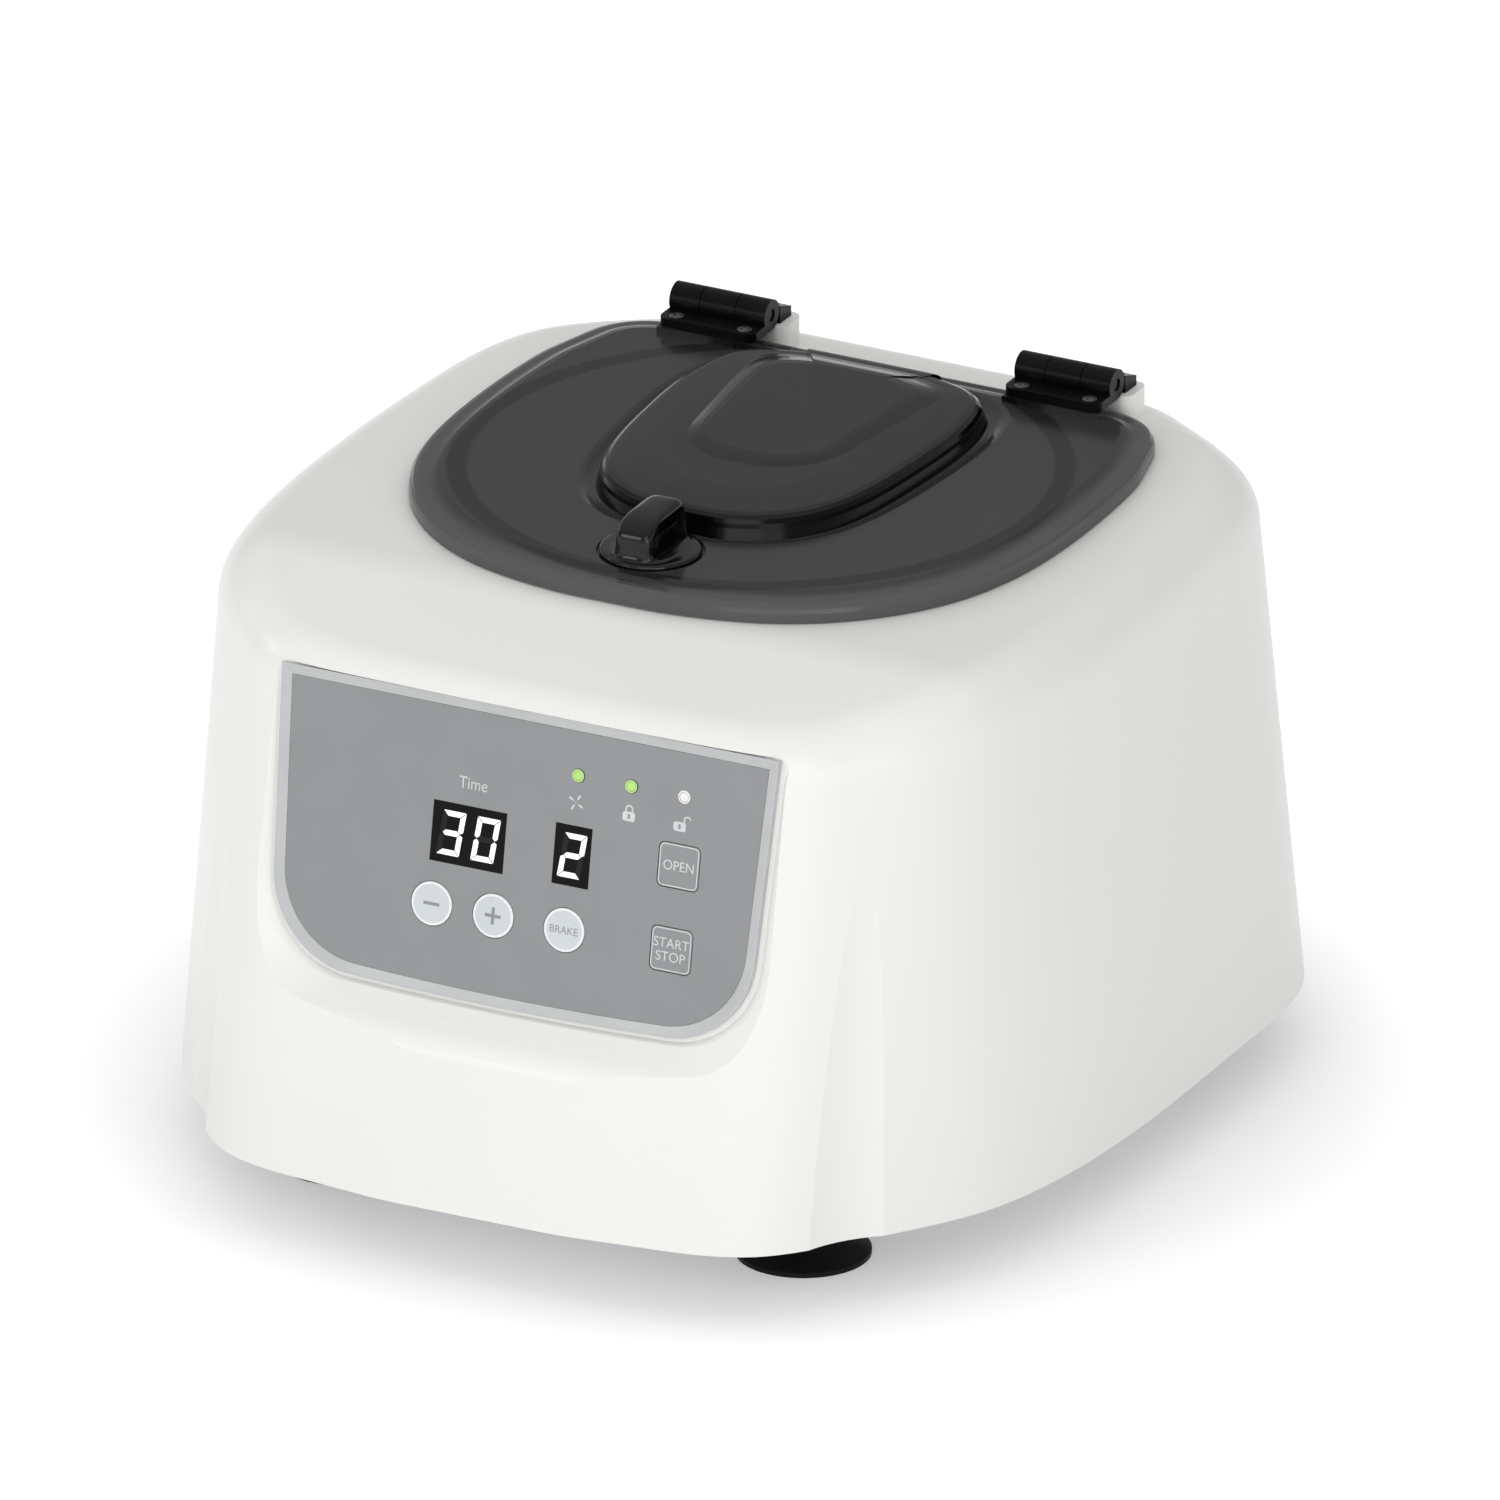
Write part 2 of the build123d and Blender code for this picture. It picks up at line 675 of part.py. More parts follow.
# ---------------------------------------------------------------- lid
# half outlines round the rotor axis, front middle to back: x as a share of the half width,
# y in front of the axis as a share of the front reach and behind it as a share of the back reach
lid_shape = [
    (0.1, -1), (0.26, -0.985), (0.507, -0.913), (0.839, -0.625), (1, -0.06), (0.985, 0.54),
    (0.93, 0.8),
]
dome_shape = [
    (0.16, -1), (0.41, -0.95), (0.65, -0.8), (0.82, -0.57), (0.93, -0.2), (0.985, 0.2),
    (1, 0.5), (0.94, 0.75), (0.72, 0.92), (0.42, 0.985), (0.2, 1),
]
ridge_shape = [
    (0.15, -1), (0.38, -0.88), (0.6, -0.55), (0.75, -0.1), (0.85, 0.2), (0.93, 0.5),
    (0.97, 0.72), (0.8, 0.93), (0.45, 0.99), (0.2, 1),
]
lid_corner = 24.0
side_run = (-0.28, 1)     # direction of the lid's sides where they reach the back corners
ridge_reach = (36.0, 20.0, 72.0)   # half width, front and back reach of the ridge's foot
ridge_rise = 2.3
ridge_profile = [(-0.3, 0), (0.06, 0.6), (0.28, 3.2), (0.62, 5.8), (0.88, 8.2), (1, 10.8)]
dome_shell = 2.6
dome_lean = 1.6
dome_rounding = 4.6
recess_radius = knob_radius + 1.0
recess_depth = 1.0
lid_boss_radius = 7.5
lid_boss_z = deck_z + 1.6
lid_screw_y = -9.2        # from the hinge line
pad_edge = 13.5           # hinge pad on the lid, forward of the hinge line
pad_back = 6.0


def shaped(shape, half_x, front, back):
    """Points of a half outline round the rotor axis."""
    return [(fx * half_x, rotor_y + fy * (front if fy < 0 else back)) for fx, fy in shape]


def lid_sketch(z, inset):
    """Lid outline: bowed front and sides, straight back along the hinges."""
    points = shaped(lid_shape, lid_half_width, lid_front, lid_back)
    points = inset_points(points, (1, 0), side_run, inset)
    back_y = hinge_y - inset
    with BuildSketch(Plane.XY.offset(z)) as sketch:
        with BuildLine():
            Line((0, points[0][1]), points[0])
            Spline(*points, tangents=((1, 0), side_run))
            corner_x = points[-1][0] + side_run[0] * (back_y - points[-1][1])
            Polyline(points[-1], (corner_x, back_y), (0, back_y))
            mirror(about=Plane.YZ)
        make_face()
        back_corners = sketch.vertices().filter_by(lambda v: abs(v.Y - back_y) < 0.01)
        fillet(back_corners.filter_by(lambda v: abs(v.X) > 1), lid_corner - inset)
    return sketch.sketch


def smooth_sketch(z, inset, shape, reach):
    """Closed smooth outline round the rotor axis, such as the dome's."""
    points = shaped(shape, *[r - inset for r in reach])
    with BuildSketch(Plane.XY.offset(z)) as sketch:
        with BuildLine():
            Line((0, points[0][1]), points[0])
            Spline(*points, tangents=((1, 0), (-1, 0)))
            Line(points[-1], (0, points[-1][1]))
            mirror(about=Plane.YZ)
        make_face()
    return sketch.sketch


def stack(profile, outline_at, *details):
    """Body through outlines stacked as (height, inset), each drawn by outline_at."""
    with BuildPart() as body:
        for z, inset in profile:
            add(outline_at(z, inset, *details))
        loft(ruled=True)
    return body.part


def rolled(z, inset, radius, turns):
    """Profile of an edge rolled over into the flat at height z, starting at an inset."""
    steps = [math.radians(90 * k / turns) for k in range(turns + 1)]
    return [(z - radius * (1 - math.sin(t)), inset + radius * (1 - math.cos(t))) for t in steps]


dome_reach = (dome_half_width, dome_front, dome_back - 6)
moat_floor = lid_top - moat_depth
dome_top = lid_top + dome_height
rim_top = lid_top - rim_drop
# the rim's rounded edge, its flat band, then the soft step up to the middle of the lid
lid_profile = [(lid_bottom, 0)] + rolled(rim_top, 0, lid_edge_radius, 3)
lid_profile += [(rim_top + 0.15, 6), (rim_top + 0.45, 7.2), (rim_top + 0.85, 8.4), (lid_top, 10.5)]
moat_profile = [
    (moat_floor, -0.8), (moat_floor + 0.25, -2.2), (lid_top - 0.4, -4.2), (lid_top, -5.5),
    (lid_top + 1, -9),
]
dome_profile = [(lid_under + 0.5, 0)] + rolled(dome_top, dome_lean, dome_rounding, 5)
dome_profile += [(dome_top + 0.45, 13), (dome_top + 0.75, 21)]
cavity_profile = [(lid_under - 1, 0)] + rolled(dome_top - dome_shell, dome_lean, 2.5, 3)

with BuildPart() as lid_shell:
    add(stack(lid_profile, lid_sketch))
    add(lid_sketch(lid_bottom, lid_wall))
    extrude(amount=lid_rim - lid_wall, mode=Mode.SUBTRACT)
    # moat round the dome, the dome itself and the raised ridge on it
    add(stack(moat_profile, smooth_sketch, dome_shape, dome_reach), mode=Mode.SUBTRACT)
    add(stack(dome_profile, smooth_sketch, dome_shape, dome_reach))
    ridge = [(dome_top + share * ridge_rise, inset) for share, inset in ridge_profile]
    add(stack(ridge, smooth_sketch, ridge_shape, ridge_reach))
    inner_reach = [r - dome_shell for r in dome_reach]
    add(stack(cavity_profile, smooth_sketch, dome_shape, inner_reach), mode=Mode.SUBTRACT)
    # hinge pads with their screw bosses
    with BuildSketch(Plane.XY.offset(lid_under + 0.5)):
        with Locations(*[(hx, hinge_y - (pad_edge + pad_back) / 2) for hx in hinge_places]):
            Rectangle(hinge_width, pad_edge - pad_back)
        with Locations(*hinge_screw_points(hinge_y + lid_screw_y)):
            Circle(4.8)
    extrude(amount=hinge_seat_z - lid_under - 0.5)
    with BuildSketch(Plane.XY.offset(hinge_seat_z)):
        with Locations(*hinge_screw_points(hinge_y + lid_screw_y)):
            Circle(screw_radius)
    extrude(amount=-4, mode=Mode.SUBTRACT)
    # seat, boss and bore of the latch knob
    with BuildSketch(Plane.XY.offset(lid_top - recess_depth)):
        with Locations((0, latch_y)):
            Circle(recess_radius)
    extrude(amount=recess_depth + 1, mode=Mode.SUBTRACT)
    with BuildSketch(Plane.XY.offset(lid_boss_z)):
        with Locations((0, latch_y)):
            Circle(lid_boss_radius)
    extrude(amount=lid_under - lid_boss_z + 0.5)
    with BuildSketch(Plane.XY.offset(lid_boss_z)):
        with Locations((0, latch_y)):
            Circle(shaft_radius + run_fit)
    extrude(amount=lid_rim, mode=Mode.SUBTRACT)
save(lid_shell, "lid_shell")

gasket_back = lid_back - lid_wall - 1.0   # straight back edge, from the rotor axis
with BuildPart() as chamber_gasket:
    with BuildSketch(Plane.XY.offset(deck_z + gap)) as ring:
        with Locations((0, rotor_y)):
            Circle(gasket_radius)
        with Locations((0, rotor_y + gasket_back + gasket_radius)):
            Rectangle(4 * gasket_radius, 2 * gasket_radius, mode=Mode.SUBTRACT)
        fillet(ring.vertices(), 18)
        offset(amount=-gasket_width, mode=Mode.SUBTRACT)
    extrude(amount=lid_under - deck_z - gap)
save(chamber_gasket, "chamber_gasket")

# ---------------------------------------------------------------- latch
knob_bottom = lid_top - recess_depth + gap
disc_top = lid_top - recess_depth + knob_disc
grip_top = disc_top + grip_height
grip_shell = 2.0
grip_corner = 5.2
grip_rounding = 4.6
grip_web = 2.2
dish_depth = 1.2

with BuildPart() as latch_knob:
    with BuildSketch(Plane.XY.offset(knob_bottom)):
        with Locations((0, latch_y)):
            Circle(knob_radius)
    extrude(amount=disc_top - knob_bottom)
    fillet(latch_knob.faces().sort_by(Axis.Z)[-1].edges(), 0.4)
    with BuildSketch(Plane.XY.offset(disc_top - dish_depth)):
        with Locations((0, latch_y)):
            Circle(knob_radius - 1.5)
    extrude(amount=dish_depth, mode=Mode.SUBTRACT)
    with BuildPart(mode=Mode.PRIVATE) as grip:
        with BuildSketch(Plane.XY.offset(knob_bottom)):
            with Locations((0, latch_y)):
                RectangleRounded(grip_width, grip_length, grip_corner)
        extrude(amount=grip_top - knob_bottom)
        fillet(grip.faces().sort_by(Axis.Z)[-1].edges(), grip_rounding)
    add(grip.part)
    # pockets in both sides of the grip, a web between them, a round column and a rib across
    for side in (-1, 1):
        with BuildSketch(Plane.YZ.offset(side * grip_web / 2)):
            with Locations((latch_y + 0.5, (disc_top - dish_depth + grip_top - grip_shell) / 2)):
                RectangleRounded(
                    grip_length - 2 * grip_shell - 1,
                    grip_top - grip_shell - disc_top + dish_depth, 3.8,
                )
        extrude(amount=side * grip_width, mode=Mode.SUBTRACT)
    with BuildSketch(Plane.XY.offset(disc_top - dish_depth - 0.2)):
        with Locations((0, latch_y)):
            Circle(2.6)
    extrude(amount=grip_top - grip_shell - disc_top + dish_depth + 0.4)
    with BuildSketch(Plane.XY.offset(disc_top + 5.2)):
        with Locations((0, latch_y)):
            RectangleRounded(grip_width - 2.4, grip_length - 2, 4)
    extrude(amount=1.0)
save(latch_knob, "latch_knob")

latch_screw_depth = 10.0
with BuildPart() as latch_shaft:
    with BuildSketch(Plane.XY.offset(tongue_top)):
        with Locations((0, latch_y)):
            Circle(shaft_radius)
    extrude(amount=knob_bottom - tongue_top)
    with BuildSketch(Plane.XY.offset(tongue_top)):
        with Locations((0, latch_y)):
            Circle(screw_radius)
    extrude(amount=latch_screw_depth - tongue_thick, mode=Mode.SUBTRACT)
save(latch_shaft, "latch_shaft")

with BuildPart() as latch_tongue:
    with BuildSketch(Plane.XY.offset(tongue_bottom)) as blade:
        with Locations((tongue_length / 2, latch_y)):
            Rectangle(tongue_length, 2 * tongue_half_width)
        fillet(blade.vertices().group_by(Axis.X)[-1], 3)
        with Locations((0, latch_y)):
            Circle(tongue_half_width)
            Circle(screw_radius + slip_fit, mode=Mode.SUBTRACT)
    extrude(amount=tongue_thick)
save(latch_tongue, "latch_tongue")

with BuildPart() as latch_screw:
    with BuildSketch(Plane.XY.offset(tongue_bottom)):
        with Locations((0, latch_y)):
            Circle(screw_radius)
    extrude(amount=latch_screw_depth)
    with BuildSketch(Plane.XY.offset(tongue_bottom)):
        with Locations((0, latch_y)):
            Circle(3.5)
    extrude(amount=-2)
    with BuildSketch(Plane.XY.offset(tongue_bottom - 2)):
        with Locations((0, latch_y)):
            RegularPolygon(1.4, 6)
    extrude(amount=1.2, mode=Mode.SUBTRACT)
save(latch_screw, "latch_screw")

striker_y = opening_front - 8.25
with BuildPart() as striker_plate:
    with BuildSketch(Plane.XY.offset(pad_z - striker_thick)):
        with Locations((3.75, striker_y)):
            RectangleRounded(18.5, 14.5, 1.5)
    extrude(amount=striker_thick)
save(striker_plate, "striker_plate")

# lock: a solenoid bolt that keeps the turned tongue from coming back, and a switch that sees it
bolt_y = opening_front - 8.0
bolt_z = tongue_bottom + 1.0
bolt_start = bolt_travel + 5.0
bolt_length = 29.0
solenoid_size = (26.0, 11.6, 10.0)
solenoid_x = 18.0
bracket_thick = 1.2
bracket_front = 16.4
solenoid_bottom = bolt_z - solenoid_size[2] / 2

with BuildPart() as lock_solenoid:
    with BuildSketch(Plane.YZ.offset(solenoid_x)):
        with Locations((bolt_y - 0.2, bolt_z)):
            RectangleRounded(solenoid_size[1], solenoid_size[2], 1.2)
        with Locations((bolt_y, bolt_z)):
            Circle(bolt_radius + run_fit, mode=Mode.SUBTRACT)
    extrude(amount=solenoid_size[0])
save(lock_solenoid, "lock_solenoid")

with BuildPart() as lock_bolt:
    with BuildSketch(Plane.YZ.offset(bolt_start)):
        with Locations((bolt_y, bolt_z)):
            Circle(bolt_radius)
    extrude(amount=bolt_length)
    chamfer(lock_bolt.faces().sort_by(Axis.X)[0].edges(), 0.6)
save(lock_bolt, "lock_bolt")

with BuildPart() as lock_bracket:
    with BuildSketch(Plane.XZ.offset(-bolt_y - solenoid_size[1] / 2 + 0.2)):
        with BuildLine():
            ear_x = solenoid_x + solenoid_size[0] + 2.5
            low = solenoid_bottom
            Polyline(
                (bracket_front, low + 8), (bracket_front, low - bracket_thick),
                (ear_x + bracket_thick, low - bracket_thick),
                (ear_x + bracket_thick, inner_top - bracket_thick),
                (ear_x + 9.5, inner_top - bracket_thick),
                (ear_x + 9.5, inner_top), (ear_x, inner_top), (ear_x, low),
                (bracket_front + bracket_thick, low), (bracket_front + bracket_thick, low + 8),
                (bracket_front, low + 8),
            )
        make_face()
    extrude(amount=solenoid_size[1])
    with BuildSketch(Plane.YZ.offset(bracket_front - 1)):
        with Locations((bolt_y, bolt_z)):
            Circle(bolt_radius + gap)
    extrude(amount=ear_x, mode=Mode.SUBTRACT)
save(lock_bracket, "lock_bracket")

with BuildPart() as lid_switch:
    with BuildSketch(Plane.XY.offset(pad_z - 10)):
        with Locations((-16, bolt_y + 0.3)):
            Rectangle(20, 6.4)
    extrude(amount=10)
    fillet(lid_switch.edges().filter_by(Axis.Y), 0.6)
    with BuildSketch(Plane.YZ.offset(-7)):
        with Locations((bolt_y + 0.3, bolt_z)):
            Circle(1.2)
    extrude(amount=1.8)
save(lid_switch, "lid_switch")

# ---------------------------------------------------------------- hinges
knuckle_half = 6.0
leaf_round = 3.0
screw_head_radius = 2.35
screw_head = 1.2
sink_radius = 2.6
arm_top = 2.0
rear_leaf_start = 5.6

with BuildPart() as hinge_lid_leaves:
    for hx in hinge_places:
        with BuildSketch(Plane.XY.offset(hinge_seat_z)) as flange:
            with Locations((hx, hinge_y - flange_reach / 2)):
                Rectangle(hinge_width, flange_reach)
            fillet(flange.vertices().group_by(Axis.Y)[0], leaf_round)
        extrude(amount=flange_thick)
        with BuildSketch(Plane.YZ.offset(hx - hinge_width / 2)):
            with Locations((hinge_y, hinge_z)):
                Circle(barrel_radius)
        extrude(amount=hinge_width)
        with BuildSketch(Plane.XY.offset(hinge_seat_z - 1)):
            with Locations((hx, hinge_y - barrel_radius - gap + 10)):
                Rectangle(2 * (knuckle_half + gap), 20)
        extrude(amount=2 * barrel_radius + 2, mode=Mode.SUBTRACT)
        with BuildSketch(Plane.YZ.offset(hx - hinge_width / 2)):
            with Locations((hinge_y, hinge_z)):
                Circle(pin_radius + run_fit)
        extrude(amount=hinge_width, mode=Mode.SUBTRACT)
    with BuildSketch(Plane.XY.offset(hinge_seat_z)):
        with Locations(*hinge_screw_points(hinge_y + lid_screw_y)):
            Circle(screw_radius + slip_fit)
    extrude(amount=flange_thick, mode=Mode.SUBTRACT)
    with BuildSketch(Plane.XY.offset(hinge_seat_z + flange_thick - screw_head)):
        with Locations(*hinge_screw_points(hinge_y + lid_screw_y)):
            Circle(sink_radius)
    extrude(amount=screw_head, mode=Mode.SUBTRACT)
save(hinge_lid_leaves, "hinge_lid_leaves")

body_sink_z = hinge_seat_z + 2.2
with BuildPart() as hinge_body_leaves:
    for hx in hinge_places:
        with BuildSketch(Plane.YZ.offset(hx - knuckle_half)):
            with Locations((hinge_y, hinge_z)):
                Circle(barrel_radius)
            with Locations((hinge_y + 3, hinge_z + (arm_top - barrel_radius) / 2)):
                Rectangle(6, barrel_radius + arm_top)
        extrude(amount=2 * knuckle_half)
        with BuildSketch(Plane.YZ.offset(hx - hinge_width / 2)):
            with BuildLine():
                Polyline(
                    (hinge_y + rear_leaf_start, hinge_seat_z), (hinge_y + rear_leaf_end, hinge_seat_z),
                    (hinge_y + rear_leaf_end, hinge_z - 1.7), (hinge_y + rear_leaf_start, hinge_z + 1),
                    close=True,
                )
            make_face()
        extrude(amount=hinge_width)
        with BuildSketch(Plane.YZ.offset(hx - knuckle_half)):
            with Locations((hinge_y, hinge_z)):
                Circle(pin_radius)
        extrude(amount=2 * knuckle_half, mode=Mode.SUBTRACT)
    with BuildSketch(Plane.XY.offset(hinge_seat_z)):
        with Locations(*hinge_screw_points(hinge_y + body_screw_y)):
            Circle(screw_radius + slip_fit)
    extrude(amount=8, mode=Mode.SUBTRACT)
    with BuildSketch(Plane.XY.offset(body_sink_z)):
        with Locations(*hinge_screw_points(hinge_y + body_screw_y)):
            Circle(sink_radius)
    extrude(amount=8, mode=Mode.SUBTRACT)
save(hinge_body_leaves, "hinge_body_leaves")

with BuildPart() as hinge_pins:
    for hx in hinge_places:
        with BuildSketch(Plane.YZ.offset(hx - hinge_width / 2 + 0.5)):
            with Locations((hinge_y, hinge_z)):
                Circle(pin_radius)
        extrude(amount=hinge_width - 1)
save(hinge_pins, "hinge_pins")

screw_sets = {
    "hinge_lid_screws": (hinge_y + lid_screw_y, hinge_seat_z + flange_thick - screw_head, 5.6),
    "hinge_body_screws": (hinge_y + body_screw_y, body_sink_z, body_sink_z - hinge_seat_z + 10),
}
for name, (y, seat_z, length) in screw_sets.items():
    with BuildPart() as screws:
        with BuildSketch(Plane.XY.offset(seat_z)):
            with Locations(*hinge_screw_points(y)):
                Circle(screw_head_radius)
        extrude(amount=screw_head)
        with BuildSketch(Plane.XY.offset(seat_z - length)):
            with Locations(*hinge_screw_points(y)):
                Circle(screw_radius)
        extrude(amount=length)
        with BuildSketch(Plane.XY.offset(seat_z + screw_head - 0.7)):
            with Locations(*hinge_screw_points(y)):
                Rectangle(2.6, 0.6)
                Rectangle(0.6, 2.6)
        extrude(amount=0.7, mode=Mode.SUBTRACT)
    save(screws, name)

# ---------------------------------------------------------------- chamber
bowl_radius = opening_radius - seat_gap
bowl_corner = 14.0
bowl_flange = boss_ring + 4.5
bowl_hole = 9.5

with BuildPart() as chamber_bowl:
    with BuildSketch(Plane.XY.offset(bowl_floor_z)):
        with Locations((0, rotor_y)):
            Circle(bowl_radius)
    extrude(amount=bowl_top - bowl_floor_z)
    fillet(chamber_bowl.faces().sort_by(Axis.Z)[0].edges(), bowl_corner + bowl_wall)
    with BuildSketch(Plane.XY.offset(collar_z - bowl_wall)):
        with Locations((0, rotor_y)):
            Circle(bowl_flange)
    extrude(amount=bowl_wall)
    with BuildPart(mode=Mode.PRIVATE) as hollow:
        with BuildSketch(Plane.XY.offset(bowl_floor_z + bowl_wall)):
            with Locations((0, rotor_y)):
                Circle(bowl_radius - bowl_wall)
        extrude(amount=bowl_top - bowl_floor_z)
        fillet(hollow.faces().sort_by(Axis.Z)[0].edges(), bowl_corner)
    add(hollow.part, mode=Mode.SUBTRACT)
    with BuildSketch(Plane.XY.offset(bowl_floor_z)):
        with Locations((0, rotor_y)):
            Circle(bowl_hole + bowl_wall)
    extrude(amount=7.5)
    with BuildSketch(Plane.XY.offset(bowl_floor_z)):
        with Locations((0, rotor_y)):
            Circle(bowl_hole)
    extrude(amount=8, mode=Mode.SUBTRACT)
    with BuildSketch(Plane.XY.offset(collar_z - bowl_wall)):
        with Locations((0, rotor_y)):
            with PolarLocations(boss_ring, 4, start_angle=45):
                Circle(screw_radius + slip_fit)
    extrude(amount=bowl_wall, mode=Mode.SUBTRACT)
save(chamber_bowl, "chamber_bowl")

with BuildPart() as bowl_screws:
    with BuildSketch(Plane.XY.offset(collar_z - bowl_wall)):
        with Locations((0, rotor_y)):
            with PolarLocations(boss_ring, 4, start_angle=45):
                Circle(3.0)
    extrude(amount=-2)
    with BuildSketch(Plane.XY.offset(collar_z - bowl_wall)):
        with Locations((0, rotor_y)):
            with PolarLocations(boss_ring, 4, start_angle=45):
                Circle(screw_radius)
    extrude(amount=9)
save(bowl_screws, "bowl_screws")

# ---------------------------------------------------------------- rotor
tilt = math.radians(tube_tilt)
mouth_rise = 3.0          # sleeve mouths above the head's sloping face
flange_height = 1.5
hub_radius = 12.0
face_outer = 37.0
slope = math.tan(tilt)
face_z = mouth_z - mouth_rise / math.cos(tilt)       # sloping face below the mouth's centre
hub_top = face_z - (mouth_radius - hub_radius) * slope
rim_top = face_z + (face_outer - mouth_radius) * slope
rim_low = (face_outer + head_thick * math.sin(tilt), rim_top - head_thick * math.cos(tilt))
hub_bottom = rim_low[1] - (rim_low[0] - hub_radius) * slope
tube_angles = [math.radians(30 + 360 / tube_count * k) for k in range(tube_count)]
tube_planes = [
    Plane(
        origin=(mouth_radius * math.cos(a), rotor_y + mouth_radius * math.sin(a), mouth_z),
        x_dir=(-math.sin(a), math.cos(a), 0),
        z_dir=(-math.sin(tilt) * math.cos(a), -math.sin(tilt) * math.sin(a), math.cos(tilt)),
    )
    for a in tube_angles
]

with BuildPart() as rotor_head:
    with BuildSketch(Plane(origin=(0, rotor_y, 0), x_dir=(1, 0, 0), z_dir=(0, -1, 0))):
        with BuildLine():
            Polyline(
                (spindle_radius, hub_bottom), (hub_radius, hub_bottom), rim_low, (face_outer, rim_top),
                (hub_radius, hub_top), (spindle_radius, hub_top), close=True,
            )
        make_face()
    revolve(axis=Axis((0, rotor_y, 0), (0, 0, 1)))
    for plane in tube_planes:
        with BuildSketch(plane.offset(-6)):
            Circle(sleeve_radius + sleeve_flange + 0.9)
        extrude(amount=6 - flange_height)
    for plane in tube_planes:
        with BuildSketch(plane.offset(-flange_height)):
            Circle(sleeve_radius + sleeve_flange + 0.9)
        extrude(amount=8, mode=Mode.SUBTRACT)
        with BuildSketch(plane.offset(-45)):
            Circle(sleeve_radius + slip_fit)
        extrude(amount=50, mode=Mode.SUBTRACT)
save(rotor_head, "rotor_head")

with BuildPart() as sleeve:
    with BuildSketch(Plane.XZ):
        with BuildLine():
            outer = sleeve_radius
            inner = sleeve_radius - sleeve_wall
            low = sleeve_radius - sleeve_length
            arc = math.sqrt(0.5)
            Polyline(
                (inner, 0), (outer + sleeve_flange, 0), (outer + sleeve_flange, -flange_height),
                (outer, -flange_height), (outer, low),
            )
            ThreePointArc((outer, low), (outer * arc, low - outer * arc), (0, low - outer))
            Line((0, low - outer), (0, low - inner))
            ThreePointArc((0, low - inner), (inner * arc, low - inner * arc), (inner, low))
            Line((inner, low), (inner, 0))
        make_face()
    revolve(axis=Axis.Z)

with BuildPart() as rotor_sleeves:
    for plane in tube_planes:
        add(sleeve.part.moved(plane.location))
save(rotor_sleeves, "rotor_sleeves")

with BuildPart() as rotor_nut:
    with BuildSketch(Plane.XY.offset(hub_top)):
        with Locations((0, rotor_y)):
            Circle(9)
    extrude(amount=10)
    fillet(rotor_nut.faces().sort_by(Axis.Z)[-1].edges(), 1.2)
    with BuildSketch(Plane.XY.offset(hub_top + 1.5)):
        with Locations((0, rotor_y)):
            with PolarLocations(9.3, 24):
                Circle(0.6)
    extrude(amount=7, mode=Mode.SUBTRACT)
    with BuildSketch(Plane.XY.offset(hub_top)):
        with Locations((0, rotor_y)):
            Circle(spindle_radius)
    extrude(amount=7.6, mode=Mode.SUBTRACT)
save(rotor_nut, "rotor_nut")

# ---------------------------------------------------------------- motor
can_wall = 3.2
can_top = motor_base_z + motor_height
bearing_height = 7.0
bearing_radius = 11.0
boss_top = can_top + 6
cap_thick = 4.0

with BuildPart() as motor_shaft:
    with BuildSketch(Plane.XY.offset(motor_base_z + 3)):
        with Locations((0, rotor_y)):
            Circle(spindle_radius)
    extrude(amount=hub_top + 7.6 - motor_base_z - 3)
    with BuildSketch(Plane.XY.offset(boss_top + gap)):
        with Locations((0, rotor_y)):
            Circle(6.5)
    extrude(amount=hub_bottom - boss_top - gap)
save(motor_shaft, "motor_shaft")

with BuildPart() as motor_flange:
    with BuildSketch(Plane.XY.offset(motor_base_z - plate_thick)):
        with Locations((0, rotor_y)):
            RectangleRounded(flange_plate, flange_plate, 8)
            Circle(16, mode=Mode.SUBTRACT)
        with Locations(*damper_places):
            Circle(screw_radius + slip_fit, mode=Mode.SUBTRACT)
    extrude(amount=plate_thick)
save(motor_flange, "motor_flange")

with BuildPart() as motor_dampers:
    with BuildSketch(Plane.XY.offset(base_top)):
        with Locations(*damper_places):
            Circle(damper_radius)
    extrude(amount=motor_base_z - plate_thick - base_top)
    with BuildSketch(Plane.XY.offset(foot_height)):
        with Locations(*damper_places):
            Circle(screw_radius)
    extrude(amount=motor_base_z + 2.6 - foot_height)
save(motor_dampers, "motor_dampers")

with BuildPart() as motor_can:
    with BuildSketch(Plane.XY.offset(motor_base_z)):
        with Locations((0, rotor_y)):
            Circle(motor_radius)
    extrude(amount=motor_height)
    fillet(motor_can.faces().sort_by(Axis.Z)[-1].edges(), 3)
    with BuildSketch(Plane.XY.offset(motor_base_z)):
        with Locations((0, rotor_y)):
            Circle(motor_radius - can_wall)
    extrude(amount=motor_height - can_wall, mode=Mode.SUBTRACT)
    with BuildSketch(Plane.XY.offset(can_top - 10)):
        with Locations((0, rotor_y)):
            Circle(bearing_radius + 4)
    extrude(amount=boss_top - can_top + 10)
    with BuildSketch(Plane.XY.offset(can_top - 10)):
        with Locations((0, rotor_y)):
            Circle(bearing_radius)
    extrude(amount=9, mode=Mode.SUBTRACT)
    with BuildSketch(Plane.XY.offset(can_top - 1)):
        with Locations((0, rotor_y)):
            Circle(bowl_hole - 4)
    extrude(amount=boss_top - can_top + 1, mode=Mode.SUBTRACT)
save(motor_can, "motor_can")

